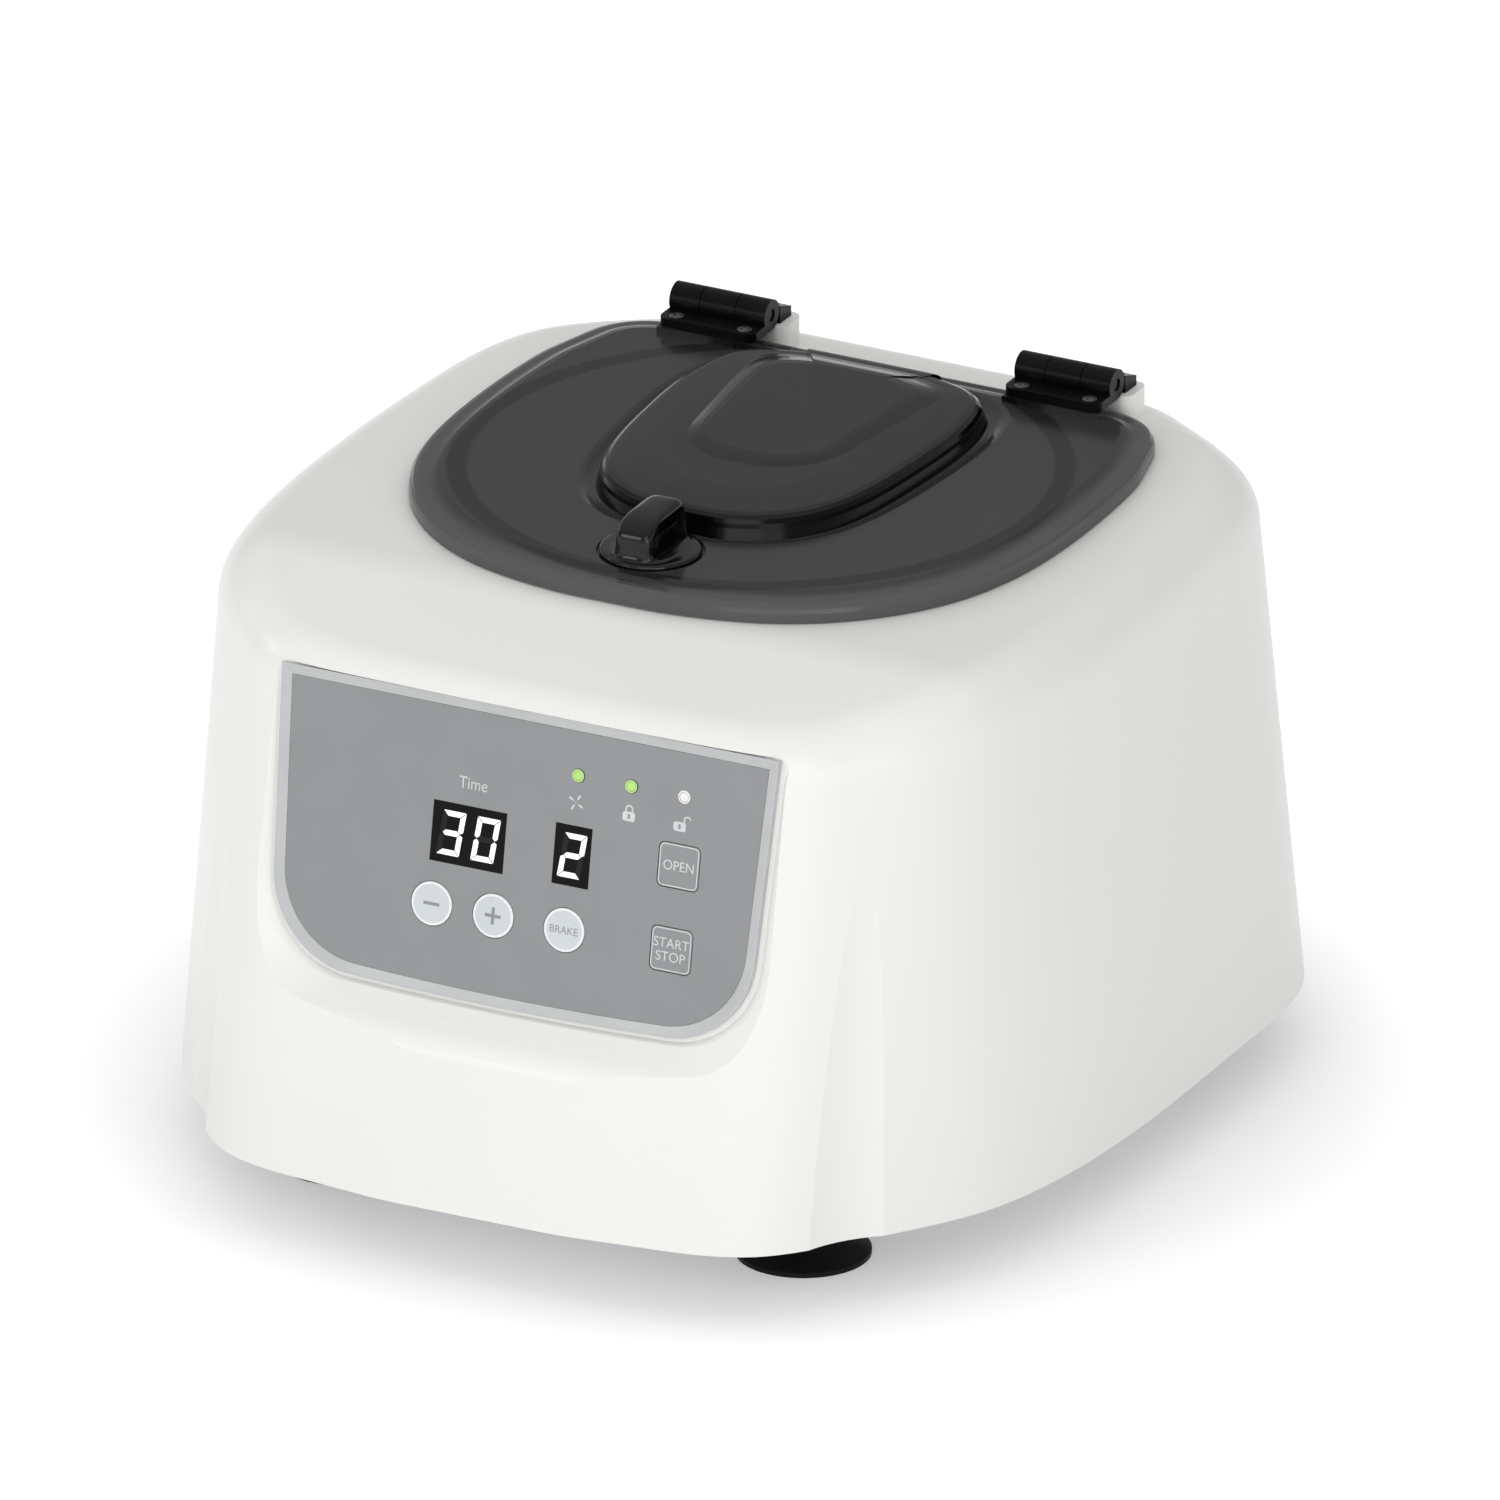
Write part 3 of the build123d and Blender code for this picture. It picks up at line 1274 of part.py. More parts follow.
with BuildPart() as motor_end_cap:
    with BuildSketch(Plane.XY.offset(motor_base_z)):
        with Locations((0, rotor_y)):
            Circle(motor_radius - can_wall)
    extrude(amount=cap_thick)
    with BuildSketch(Plane.XY.offset(motor_base_z + cap_thick)):
        with Locations((0, rotor_y)):
            Circle(bearing_radius + 4)
            Circle(bearing_radius, mode=Mode.SUBTRACT)
    extrude(amount=bearing_height)
    with BuildSketch(Plane.XY.offset(motor_base_z)):
        with Locations((0, rotor_y)):
            Circle(spindle_radius + 1)
    extrude(amount=cap_thick, mode=Mode.SUBTRACT)
save(motor_end_cap, "motor_end_cap")

with BuildPart() as motor_bearings:
    for z in (motor_base_z + cap_thick, can_top - 1 - bearing_height):
        with BuildSketch(Plane.XY.offset(z)):
            with Locations((0, rotor_y)):
                Circle(bearing_radius)
                Circle(spindle_radius + run_fit / 2, mode=Mode.SUBTRACT)
        extrude(amount=bearing_height)
save(motor_bearings, "motor_bearings")

stator_bottom = motor_base_z + cap_thick + bearing_height + 3
stator_top = can_top - 14
with BuildPart() as motor_stator:
    with BuildSketch(Plane.XY.offset(stator_bottom)):
        with Locations((0, rotor_y)):
            Circle(motor_radius - can_wall)
            Circle(27, mode=Mode.SUBTRACT)
            with PolarLocations(27, 12):
                Rectangle(12, 1.6, mode=Mode.SUBTRACT)
    extrude(amount=stator_top - stator_bottom)
save(motor_stator, "motor_stator")

with BuildPart() as motor_armature:
    with BuildSketch(Plane.XY.offset(stator_bottom + 2)):
        with Locations((0, rotor_y)):
            Circle(26)
            Circle(spindle_radius, mode=Mode.SUBTRACT)
    extrude(amount=stator_top - stator_bottom - 4)
save(motor_armature, "motor_armature")

# ---------------------------------------------------------------- power entry
with BuildPart() as power_board:
    with BuildSketch(Plane.XY.offset(power_board_z)):
        with Locations(power_board_middle):
            RectangleRounded(*power_board_size, 2)
    extrude(amount=board_thick)
    with BuildSketch(Plane.XY.offset(power_board_z + board_thick)):
        with Locations((power_board_middle[0] - 24, power_board_middle[1])):
            Rectangle(22, 18)
        with Locations((power_board_middle[0] + 4, power_board_middle[1] + 4)):
            Circle(8)
        with Locations((power_board_middle[0] + 27, power_board_middle[1] - 2)):
            Rectangle(16, 14)
    extrude(amount=14)
save(power_board, "power_board")

rear = Plane(origin=(0, rear_panel_y, rear_panel[2]), x_dir=(1, 0, 0), z_dir=(0, -1, 0))
inlet_flange = (31.0, 24.5)
inlet_body = (27.0, 19.5)
inlet_deep = 25.0
socket = (24.0, 16.5)
lip = 2.5
pin_places = [(inlet_x - 7, -2), (inlet_x, 2), (inlet_x + 7, -2)]
pin_size = (2.0, 4.0)


with BuildPart() as power_inlet:
    with BuildSketch(rear):
        with Locations((inlet_x, 0)):
            RectangleRounded(*inlet_flange, 3)
    extrude(amount=-lip)
    with BuildSketch(rear):
        with Locations((inlet_x, 0)):
            Rectangle(*inlet_body)
    extrude(amount=inlet_deep)
    with BuildSketch(rear.offset(-lip)) as mouth:
        with Locations((inlet_x, 0)):
            Rectangle(*socket)
        chamfer(mouth.vertices().group_by(Axis.Y)[-1], 4)
    extrude(amount=lip + inlet_deep - 4, mode=Mode.SUBTRACT)
    with BuildSketch(rear):
        with Locations(*pin_places):
            Rectangle(*pin_size)
    extrude(amount=inlet_deep, mode=Mode.SUBTRACT)
save(power_inlet, "power_inlet")

with BuildPart() as inlet_pins:
    with BuildSketch(rear.offset(inlet_deep + 6)):
        with Locations(*pin_places):
            Rectangle(*pin_size)
    extrude(amount=-inlet_deep - 2)
save(inlet_pins, "inlet_pins")

frame_hole = (16.9, 10.9)
rocker_half = 7.4
rocker_tilt = 9.0
rocker_y = rear_panel_y - 2.5
trunnion_radius = 1.2
frame_lip = 1.8
with BuildPart() as power_switch_frame:
    with BuildSketch(rear):
        with Locations((switch_x, 0)):
            RectangleRounded(21.5, 15.2, 1)
    extrude(amount=-frame_lip)
    with BuildSketch(rear):
        with Locations((switch_x, 0)):
            Rectangle(19, 12.8)
    extrude(amount=14)
    with BuildSketch(rear.offset(-frame_lip)):
        with Locations((switch_x, 0)):
            Rectangle(*frame_hole)
    extrude(amount=frame_lip + 11.5, mode=Mode.SUBTRACT)
    with BuildSketch(Plane.XY.offset(rear_panel[2] - 6.1)):
        with Locations((switch_x, rocker_y)):
            Circle(trunnion_radius + run_fit)
    extrude(amount=12.2, mode=Mode.SUBTRACT)
save(power_switch_frame, "power_switch_frame")

rocker_lean = math.radians(rocker_tilt)
rocker_plane = Plane(
    origin=(switch_x, rocker_y, rear_panel[2] - frame_hole[1] / 2 + gap),
    x_dir=(math.cos(rocker_lean), math.sin(rocker_lean), 0),
    z_dir=(0, 0, 1),
)
with BuildPart() as power_rocker:
    with BuildSketch(rocker_plane):
        with BuildLine():
            face = 3.2 + rocker_half * math.tan(rocker_lean)
            Polyline(
                (-rocker_half, face), (0, 3.2), (rocker_half, face), (6.8, -1.5), (-6.8, -1.5),
                close=True,
            )
        make_face()
    extrude(amount=frame_hole[1] - 2 * gap)
    with BuildSketch(Plane.XY.offset(rear_panel[2] - 6.0)):
        with Locations((switch_x, rocker_y)):
            Circle(trunnion_radius)
    extrude(amount=12)
save(power_rocker, "power_rocker")

with BuildPart() as fuse_holder:
    with BuildSketch(rear):
        with Locations((fuse_x, 0)):
            Circle(fuse_radius - 0.2)
    extrude(amount=18)
    with BuildSketch(rear):
        with Locations((fuse_x, 0)):
            Circle(7.8)
    extrude(amount=-2)
    with BuildSketch(rear.offset(-2)):
        with Locations((fuse_x, 0)):
            Circle(5.8)
            Rectangle(8, 1.2, mode=Mode.SUBTRACT)
    extrude(amount=-2.6)
save(fuse_holder, "fuse_holder")
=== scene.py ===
import math

import bmesh
import bpy
from mathutils import Matrix, Vector


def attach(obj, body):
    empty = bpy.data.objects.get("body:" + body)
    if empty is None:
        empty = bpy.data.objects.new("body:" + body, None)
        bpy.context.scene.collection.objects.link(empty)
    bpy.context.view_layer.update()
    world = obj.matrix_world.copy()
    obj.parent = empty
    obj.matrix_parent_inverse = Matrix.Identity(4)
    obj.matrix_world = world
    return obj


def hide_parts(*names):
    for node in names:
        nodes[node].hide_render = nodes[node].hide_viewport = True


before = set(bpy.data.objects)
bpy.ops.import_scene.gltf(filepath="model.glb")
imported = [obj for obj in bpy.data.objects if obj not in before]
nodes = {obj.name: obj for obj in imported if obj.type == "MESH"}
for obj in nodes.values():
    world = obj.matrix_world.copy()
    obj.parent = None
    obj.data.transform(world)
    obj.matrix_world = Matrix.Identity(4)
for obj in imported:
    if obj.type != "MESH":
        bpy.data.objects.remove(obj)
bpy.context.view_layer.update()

# Housing: one white ABS moulding with drafted walls, rounded shoulders and a sunk bay for the
# keypad. It comes from a polished tool, so its gloss carries only a faint orange peel. The guard
# ring under the deck and the plate behind the power entry are moulded in the same white.


def remap(web, source, low, high, at_low, at_high):
    """A value carried from one range to another, and held at its ends."""
    step = web.nodes.new("ShaderNodeMapRange")
    for socket, value in (("From Min", low), ("From Max", high),
                          ("To Min", at_low), ("To Max", at_high)):
        step.inputs[socket].default_value = value
    web.links.new(source, step.inputs["Value"])
    return step


def moulding(name, colour, shade, roughness, grain, depth,
             metal=0.0, coat=0.0, gloss=0.5, drift=60):
    """A moulded, cast or plated finish: a slow drift between two tones, and a fine grain that
    shows in the gloss and as a relief so many metres deep."""
    dark_patch, light_patch = 0.35, 0.6
    duller, shinier = 1.15, 0.85
    finish = bpy.data.materials.new(name)
    finish.use_nodes = True
    web = finish.node_tree
    shader = web.nodes["Principled BSDF"]
    shader.inputs["Metallic"].default_value = metal
    shader.inputs["Specular IOR Level"].default_value = gloss
    shader.inputs["Coat Weight"].default_value = coat
    shader.inputs["Coat Roughness"].default_value = 0.08
    place = web.nodes.new("ShaderNodeTexCoord")
    cloud = web.nodes.new("ShaderNodeTexNoise")
    cloud.inputs["Scale"].default_value = drift
    cloud.inputs["Detail"].default_value = 4
    web.links.new(place.outputs["Object"], cloud.inputs["Vector"])
    tones = web.nodes.new("ShaderNodeValToRGB")
    for stop, position, tone in zip(tones.color_ramp.elements, (dark_patch, light_patch),
                                    (shade, colour)):
        stop.position = position
        stop.color = (*tone, 1)
    web.links.new(cloud.outputs["Fac"], tones.inputs["Fac"])
    web.links.new(tones.outputs["Color"], shader.inputs["Base Color"])
    peel = web.nodes.new("ShaderNodeTexNoise")
    peel.inputs["Scale"].default_value = grain
    peel.inputs["Detail"].default_value = 2
    web.links.new(place.outputs["Object"], peel.inputs["Vector"])
    rub = remap(web, peel.outputs["Fac"], 0, 1, roughness * shinier, roughness * duller)
    web.links.new(rub.outputs["Result"], shader.inputs["Roughness"])
    bump = web.nodes.new("ShaderNodeBump")
    bump.inputs["Strength"].default_value = 0.4
    bump.inputs["Distance"].default_value = depth
    web.links.new(peel.outputs["Fac"], bump.inputs["Height"])
    web.links.new(bump.outputs["Normal"], shader.inputs["Normal"])
    return finish


def dress(finish, *names):
    """Give CAD pieces their finish."""
    for name in names:
        for place in nodes[name].material_slots:
            place.material = finish


shell = moulding("shell white", (0.85, 0.855, 0.825), (0.835, 0.84, 0.81), 0.32, 420, 0.000004,
                 drift=9)
dress(shell, "upper_housing", "chamber_collar", "rear_plate")

# Base plate, motor plate, lock bracket and striker: zinc-plated sheet steel, punched and bent.
# The plating has a fine spangle between two tones of grey.
zinc = moulding("zinc sheet", (0.56, 0.57, 0.585), (0.42, 0.43, 0.445), 0.36, 350, 0.00001,
                metal=1.0, drift=220)
dress(zinc, "base_plate", "motor_flange", "lock_bracket", "striker_plate")

# Feet and motor dampers: black rubber, moulded round studs that take a nut. The nuts and all the
# screws are zinc-plated steel, bright on their heads.
rubber = moulding("foot rubber", (0.008, 0.008, 0.008), (0.005, 0.005, 0.005), 0.5, 500, 0.00002,
                  gloss=0.15)
dress(rubber, "feet", "motor_dampers")
plated = moulding("plated screws", (0.66, 0.66, 0.65), (0.52, 0.52, 0.52), 0.28, 900, 0.00001,
                  metal=1.0, drift=400)
dress(plated, "foot_nuts", "base_screws", "board_screws", "bowl_screws", "latch_screw",
      "hinge_lid_screws", "hinge_body_screws")

# Chamber bowl: spun stainless steel, screwed under the deck. Spinning leaves fine rings in the
# metal round the rotor's axis.
rotor_axis_y = 0.0315


def first_node(web, kind):
    """The first node of a kind in a finish."""
    return next(n for n in web.nodes if n.type == kind)


bowl_steel = moulding("spun steel", (0.62, 0.62, 0.61), (0.5, 0.5, 0.5), 0.3, 40, 0.00001,
                      metal=1.0)
web = bowl_steel.node_tree
axis_offset = web.nodes.new("ShaderNodeMapping")
axis_offset.inputs["Location"].default_value = (0, -rotor_axis_y, 0)
web.links.new(first_node(web, "TEX_COORD").outputs["Object"], axis_offset.inputs["Vector"])
rings = web.nodes.new("ShaderNodeTexWave")
rings.wave_type = "RINGS"
rings.rings_direction = "Z"
rings.inputs["Scale"].default_value = 320
rings.inputs["Distortion"].default_value = 1.2
web.links.new(axis_offset.outputs["Vector"], rings.inputs["Vector"])
web.links.new(rings.outputs["Fac"], first_node(web, "BUMP").inputs["Height"])
dress(bowl_steel, "chamber_bowl")

# Motor: an aluminium can and cast end cap round the laminated stator and the wound armature. The
# shaft is ground steel and runs in two bearings.
can_metal = moulding("cast aluminium", (0.55, 0.55, 0.56), (0.42, 0.42, 0.43), 0.42, 420, 0.00004,
                     metal=1.0, drift=130)
dress(can_metal, "motor_can", "motor_end_cap")
lamination = moulding("stator steel", (0.2, 0.2, 0.21), (0.12, 0.12, 0.13), 0.5, 600, 0.00002,
                      metal=1.0)
dress(lamination, "motor_stator", "motor_armature")
ground_steel = moulding("ground steel", (0.72, 0.72, 0.72), (0.6, 0.6, 0.6), 0.2, 900, 0.000005,
                        metal=1.0)
dress(ground_steel, "motor_shaft", "motor_bearings")

# Rotor: turned and bored aluminium with a blasted, clear-anodised skin, held on the shaft by a
# nut of the same. Its tube sleeves are white acetal, pushed into the bores, and so are the
# spacers and switch bodies of the boards.
rotor_metal = moulding("anodised aluminium", (0.6, 0.61, 0.62), (0.5, 0.51, 0.52), 0.34, 1400,
                       0.00002, metal=1.0, drift=90)
dress(rotor_metal, "rotor_head", "rotor_nut")
acetal = moulding("acetal", (0.72, 0.72, 0.7), (0.66, 0.66, 0.64), 0.38, 500, 0.00002)
dress(acetal, "rotor_sleeves", "board_spacers", "key_switches")

# Boards: glass cloth under a green solder mask, screwed down on spacers. The black parts on them
# and in the power entry are moulded nylon, the inlet's pins are brass, the rocker is glossier.
mask = moulding("solder mask", (0.03, 0.16, 0.07), (0.02, 0.11, 0.05), 0.35, 900, 0.00003, coat=0.4)
dress(mask, "control_board", "power_board")
black = moulding("black plastic", (0.02, 0.02, 0.021), (0.014, 0.014, 0.015), 0.4, 900, 0.00003)
dress(black, "displays", "lid_switch", "power_inlet", "power_switch_frame", "fuse_holder")
brass = moulding("inlet brass", (0.72, 0.58, 0.34), (0.6, 0.47, 0.27), 0.3, 700, 0.00001, metal=1.0)
dress(brass, "inlet_pins")
rocker_black = moulding("rocker plastic", (0.025, 0.025, 0.026), (0.018, 0.018, 0.019), 0.22, 500,
                        0.00001)
dress(rocker_black, "power_rocker")

# Keypad: a pale grey moulded bezel, set in the bay, round a screen-printed polyester film.
# The film is matt with a fine emboss. The windows over the digits are smoked acrylic.
bezel_grey = moulding("bezel plastic", (0.51, 0.52, 0.527), (0.48, 0.49, 0.497), 0.3, 900, 0.00002)
dress(bezel_grey, "panel_bezel")
film = moulding("panel film", (0.282, 0.29, 0.296), (0.272, 0.28, 0.286), 0.42, 2600, 0.00002,
                gloss=0.3)
dress(film, "panel_overlay", "key_open", "key_start_stop")
smoked = moulding("smoked window", (0.004, 0.004, 0.004), (0.003, 0.003, 0.003), 0.2, 300,
                  0.000004, gloss=0.1)
dress(smoked, "time_window", "brake_window")

# Digits: seven-segment LED bars behind each window, white where lit and nearly black where not.
# They lie in the plane of the keypad, which leans back, so they are set out in millimetres on it.
panel_lean = math.radians(9.9)
panel_y, panel_z = -0.1245, 0.177
panel = Matrix((
    (1, 0, 0, 0),
    (0, math.sin(panel_lean), -math.cos(panel_lean), panel_y),
    (0, math.cos(panel_lean), math.sin(panel_lean), panel_z),
    (0, 0, 0, 1),
))
film_face = -0.0008
ink = 0.00005


def placed(name, mesh):
    """A mesh as an object in the scene."""
    piece = bpy.data.objects.new(name, mesh)
    bpy.context.scene.collection.objects.link(piece)
    return piece


def printed(name, shapes, face, finish, body, thick=ink):
    """Ink or a thin moulded mark on the keypad. Shapes are outlines (mm right, mm down), each
    either one loop, or a pair of loops with as many points each for a ring."""
    corners, faces = [], []
    for shape in shapes:
        ring = isinstance(shape[0][0], (list, tuple))
        loops = shape if ring else [shape]
        start = len(corners)
        for height in (face, face + thick):
            for loop in loops:
                corners += [panel @ Vector((x / 1000, -down / 1000, height)) for x, down in loop]
        count = len(loops[0])
        turn = [(i, (i + 1) % count) for i in range(count)]
        if ring:
            low_out, low_in = start, start + count
            top_out, top_in = start + 2 * count, start + 3 * count
            for i, j in turn:
                faces.append((top_out + i, top_out + j, top_in + j, top_in + i))
                faces.append((low_out + j, low_out + i, low_in + i, low_in + j))
                faces.append((low_out + i, low_out + j, top_out + j, top_out + i))
                faces.append((low_in + j, low_in + i, top_in + i, top_in + j))
        else:
            faces.append(tuple(start + count + i for i in range(count)))
            faces.append(tuple(start + i for i in reversed(range(count))))
            for i, j in turn:
                faces.append((start + i, start + j, start + count + j, start + count + i))
    mesh = bpy.data.meshes.new(name)
    mesh.from_pydata(corners, [], faces)
    mesh.materials.append(finish)
    piece = placed(name, mesh)
    bpy.context.view_layer.objects.active = piece
    piece.select_set(True)
    bpy.ops.object.mode_set(mode="EDIT")
    bpy.ops.mesh.select_all(action="SELECT")
    bpy.ops.mesh.normals_make_consistent(inside=False)
    bpy.ops.object.mode_set(mode="OBJECT")
    piece.select_set(False)
    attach(piece, body)


def shine(finish, colour, strength):
    """Light from an LED behind a piece."""
    shader = finish.node_tree.nodes["Principled BSDF"]
    shader.inputs["Emission Color"].default_value = (*colour, 1)
    shader.inputs["Emission Strength"].default_value = strength


lit = moulding("lit segment", (0.9, 0.9, 0.9), (0.86, 0.86, 0.86), 0.5, 900, 0.00001)
shine(lit, (1, 1, 1), 0.35)
unlit = moulding("unlit segment", (0.01, 0.01, 0.0105), (0.008, 0.008, 0.0085), 0.4, 900, 0.00001,
                 gloss=0.2)

digit_width, digit_height, bar, gap = 7.9, 14.2, 1.75, 0.17
digit_slant = math.tan(math.radians(6.5))
digit_places = ((-24.1, 43.5), (-12.2, 43.5), (17.8, 43.0))


def digit_bars(x, down, which):
    """Outlines of the named bars of one slanted digit."""
    w, h, t, g, m = digit_width, digit_height, bar, gap, digit_height / 2
    outlines = {
        "a": [(g, h), (w - g, h), (w - t - g, h - t), (t + g, h - t)],
        "d": [(g, 0), (w - g, 0), (w - t - g, t), (t + g, t)],
        "g": [(t / 2 + g, m), (t + g, m + t / 2), (w - t - g, m + t / 2), (w - t / 2 - g, m),
              (w - t - g, m - t / 2), (t + g, m - t / 2)],
        "f": [(0, h - g), (t, h - t - g), (t, m + t / 2 + g), (t / 2, m + g), (0, m + t / 3 + g)],
        "b": [(w, h - g), (w - t, h - t - g), (w - t, m + t / 2 + g), (w - t / 2, m + g),
              (w, m + t / 3 + g)],
        "e": [(0, g), (t, t + g), (t, m - t / 2 - g), (t / 2, m - g), (0, m - t / 3 - g)],
        "c": [(w, g), (w - t, t + g), (w - t, m - t / 2 - g), (w - t / 2, m - g),
              (w, m - t / 3 - g)],
    }
    return [
        [(x + px - w / 2 + digit_slant * (py - m), down - (py - m)) for px, py in outlines[b]]
        for b in which
    ]


for name, bars, finish in (("digits_lit", ("abgcd", "abcdef", "abged"), lit),
                           ("digits_unlit", ("ef", "g", "fc"), unlit)):
    shapes = []
    for (x, down), which in zip(digit_places, bars):
        shapes += digit_bars(x, down, which)
    printed(name, shapes, film_face, finish, "housing")

# Caption over the time window: pale grey ink, screen-printed on the film. Words are set in plain
# sans-serif letters, each to its real width and capital height.
pale_ink = moulding("pale ink", (0.66, 0.675, 0.685), (0.62, 0.635, 0.645), 0.5, 1500, 0.00001)


def lettering(name, words, x, down, width, capital, face, finish, body):
    """A printed word, centred on its place on the keypad (mm right, mm down), as a thin mesh."""
    curve = bpy.data.curves.new(name, "FONT")
    curve.body = words
    curve.align_x = "CENTER"
    curve.align_y = "CENTER"
    curve.size = 1
    draft = placed(name + "_draft", curve)
    bpy.context.view_layer.update()
    across, up = width / 1000 / draft.dimensions.x, capital / 1000 / draft.dimensions.y
    mesh = bpy.data.meshes.new_from_object(draft)
    bpy.data.objects.remove(draft)
    centre_x = (max(v.co.x for v in mesh.vertices) + min(v.co.x for v in mesh.vertices)) / 2
    centre_y = (max(v.co.y for v in mesh.vertices) + min(v.co.y for v in mesh.vertices)) / 2
    place = Matrix.Translation((x / 1000, -down / 1000, face + ink))
    mesh.transform(panel @ place @ Matrix.Diagonal((across, up, 1, 1))
                   @ Matrix.Translation((-centre_x, -centre_y, 0)))
    mesh.materials.clear()
    mesh.materials.append(finish)
    piece = placed(name, mesh)
    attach(piece, body)


lettering("caption_time", "Time", -17.9, 26.6, 9.8, 3.8, film_face, pale_ink, "housing")

# Symbols under the three lamps, in the same pale ink: a fan of four blades for running, a closed
# padlock for a locked lid and an open one for a free lid.
run_x, locked_x, unlocked_x = 17.6, 36.0, 54.4
icons_down = 25.9
blade_turn = 63
blade_outline = ((0.8, -0.1), (1.5, -0.36), (2.4, -0.46), (2.8, -0.3), (2.85, 0.02), (2.3, 0.24),
                 (1.5, 0.2), (0.8, 0.08))
hub_radius = 0.24


def arc(x, down, radius, start=0, end=360, steps=48):
    """Points on a circle, angles in degrees from the right, turning upwards."""
    points = steps + (end - start < 360)
    angles = [math.radians(start + (end - start) * i / steps) for i in range(points)]
    return [(x + radius * math.cos(a), down - radius * math.sin(a)) for a in angles]


def box_loop(x, down, width, height, corner):
    """Rounded rectangle."""
    right, low = width / 2 - corner, height / 2 - corner
    loop = []
    for sx, sy, start in ((1, -1, 0), (-1, -1, 90), (-1, 1, 180), (1, 1, 270)):
        loop += arc(x + sx * right, down + sy * low, corner, start, start + 90, 8)
    return loop


fan = []
for quarter in range(4):
    turn = math.radians(90 * quarter + blade_turn)
    fan.append([(run_x + bx * math.cos(turn) - by * math.sin(turn),
                 icons_down - bx * math.sin(turn) - by * math.cos(turn))
                for bx, by in blade_outline])
fan.append(arc(run_x, icons_down, hub_radius, 0, 360, 16))
printed("symbol_run", fan, film_face, pale_ink, "housing")


def padlock(x, down, shift):
    """Body with a keyhole, and a shackle that stands over it or to one side."""
    width, height, corner = 4.3, 3.0, 0.8
    shackle_out, shackle_in, rise = 1.35, 0.85, 0.85
    hole_half, hole_height, hole_round = 0.42, 1.5, 1.4
    middle = down + 1.1
    body_out = box_loop(x, middle, width, height, corner)
    keyhole = [(x + hole_half * math.copysign(1, px - x) * min(1, abs(px - x) / hole_round),
                middle + hole_height * (py - middle) / height) for px, py in body_out]
    outer = arc(x + shift, middle - height / 2 - rise, shackle_out, 0, 180, 20)
    inner = arc(x + shift, middle - height / 2 - rise, shackle_in, 0, 180, 20)
    far_leg = -0.3 if shift else rise
    outer = [(outer[0][0], outer[0][1] + far_leg)] + outer + [(outer[-1][0], outer[-1][1] + rise)]
    inner = [(inner[0][0], inner[0][1] + far_leg)] + inner + [(inner[-1][0], inner[-1][1] + rise)]
    return [[body_out, keyhole], outer + inner[::-1]]


printed("symbol_locked", padlock(locked_x, icons_down, 0), film_face, pale_ink, "housing")
printed("symbol_unlocked", padlock(unlocked_x - 0.8, icons_down, 2.6), film_face, pale_ink,
        "housing")

# Round keys: white moulded caps on stems, each with a pale printed face and a grey sign. The rim
# of the cap stays white.
round_keys = {"minus": -28.8, "plus": -7.5, "brake": 17.1}
round_down = 66.8
key_face = -0.0005
face_radius = 6.15
key_white = moulding("key white", (0.86, 0.87, 0.87), (0.82, 0.83, 0.83), 0.34, 900, 0.00001)
dress(key_white, "key_minus", "key_plus", "key_brake")
cap_face = moulding("key face", (0.62, 0.66, 0.68), (0.59, 0.63, 0.65), 0.4, 1500, 0.00001)
for key, x in round_keys.items():
    printed("face_" + key, [arc(x, round_down, face_radius, 0, 360, 72)], key_face, cap_face,
            key + "_key", ink / 2)
grey_ink = moulding("grey ink", (0.27, 0.285, 0.3), (0.25, 0.265, 0.28), 0.5, 1500, 0.00001)
sign, stroke = 2.75, 0.52
dash = [(-sign, -stroke), (sign, -stroke), (sign, stroke), (-sign, stroke)]
cross = [(stroke, stroke), (sign, stroke), (sign, -stroke), (stroke, -stroke), (stroke, -sign),
         (-stroke, -sign), (-stroke, -stroke), (-sign, -stroke), (-sign, stroke),
         (-stroke, stroke), (-stroke, sign), (stroke, sign)]
for key, outline in (("minus", dash), ("plus", cross)):
    printed("sign_" + key, [[(round_keys[key] + px, round_down + py) for px, py in outline]],
            key_face, grey_ink, key + "_key")
lettering("word_brake", "BRAKE", round_keys["brake"], round_down, 9.6, 2.35, key_face, grey_ink,
          "brake_key")

# Square keys: moulded caps on stems, faced with the same film as the panel. Each is outlined and
# lettered in pale ink.
square_keys = {"open": (54.4, 39.6), "start_stop": (54.1, 66.4)}
square_face = -0.00075
for key, (x, down) in square_keys.items():
    outline = [box_loop(x, down, 13.5, 13.5, 1.7), box_loop(x, down, 12.8, 12.8, 1.35)]
    printed("outline_" + key, [outline], square_face, pale_ink, key + "_key")
for word, key, down, width in (("open", "open", 39.6, 10.5), ("start", "start_stop", 64.3, 12.2),
                               ("stop", "start_stop", 68.6, 10.1)):
    lettering("word_" + word, word.upper(), square_keys[key][0], down, width, 3.1, square_face,
              pale_ink, key + "_key")

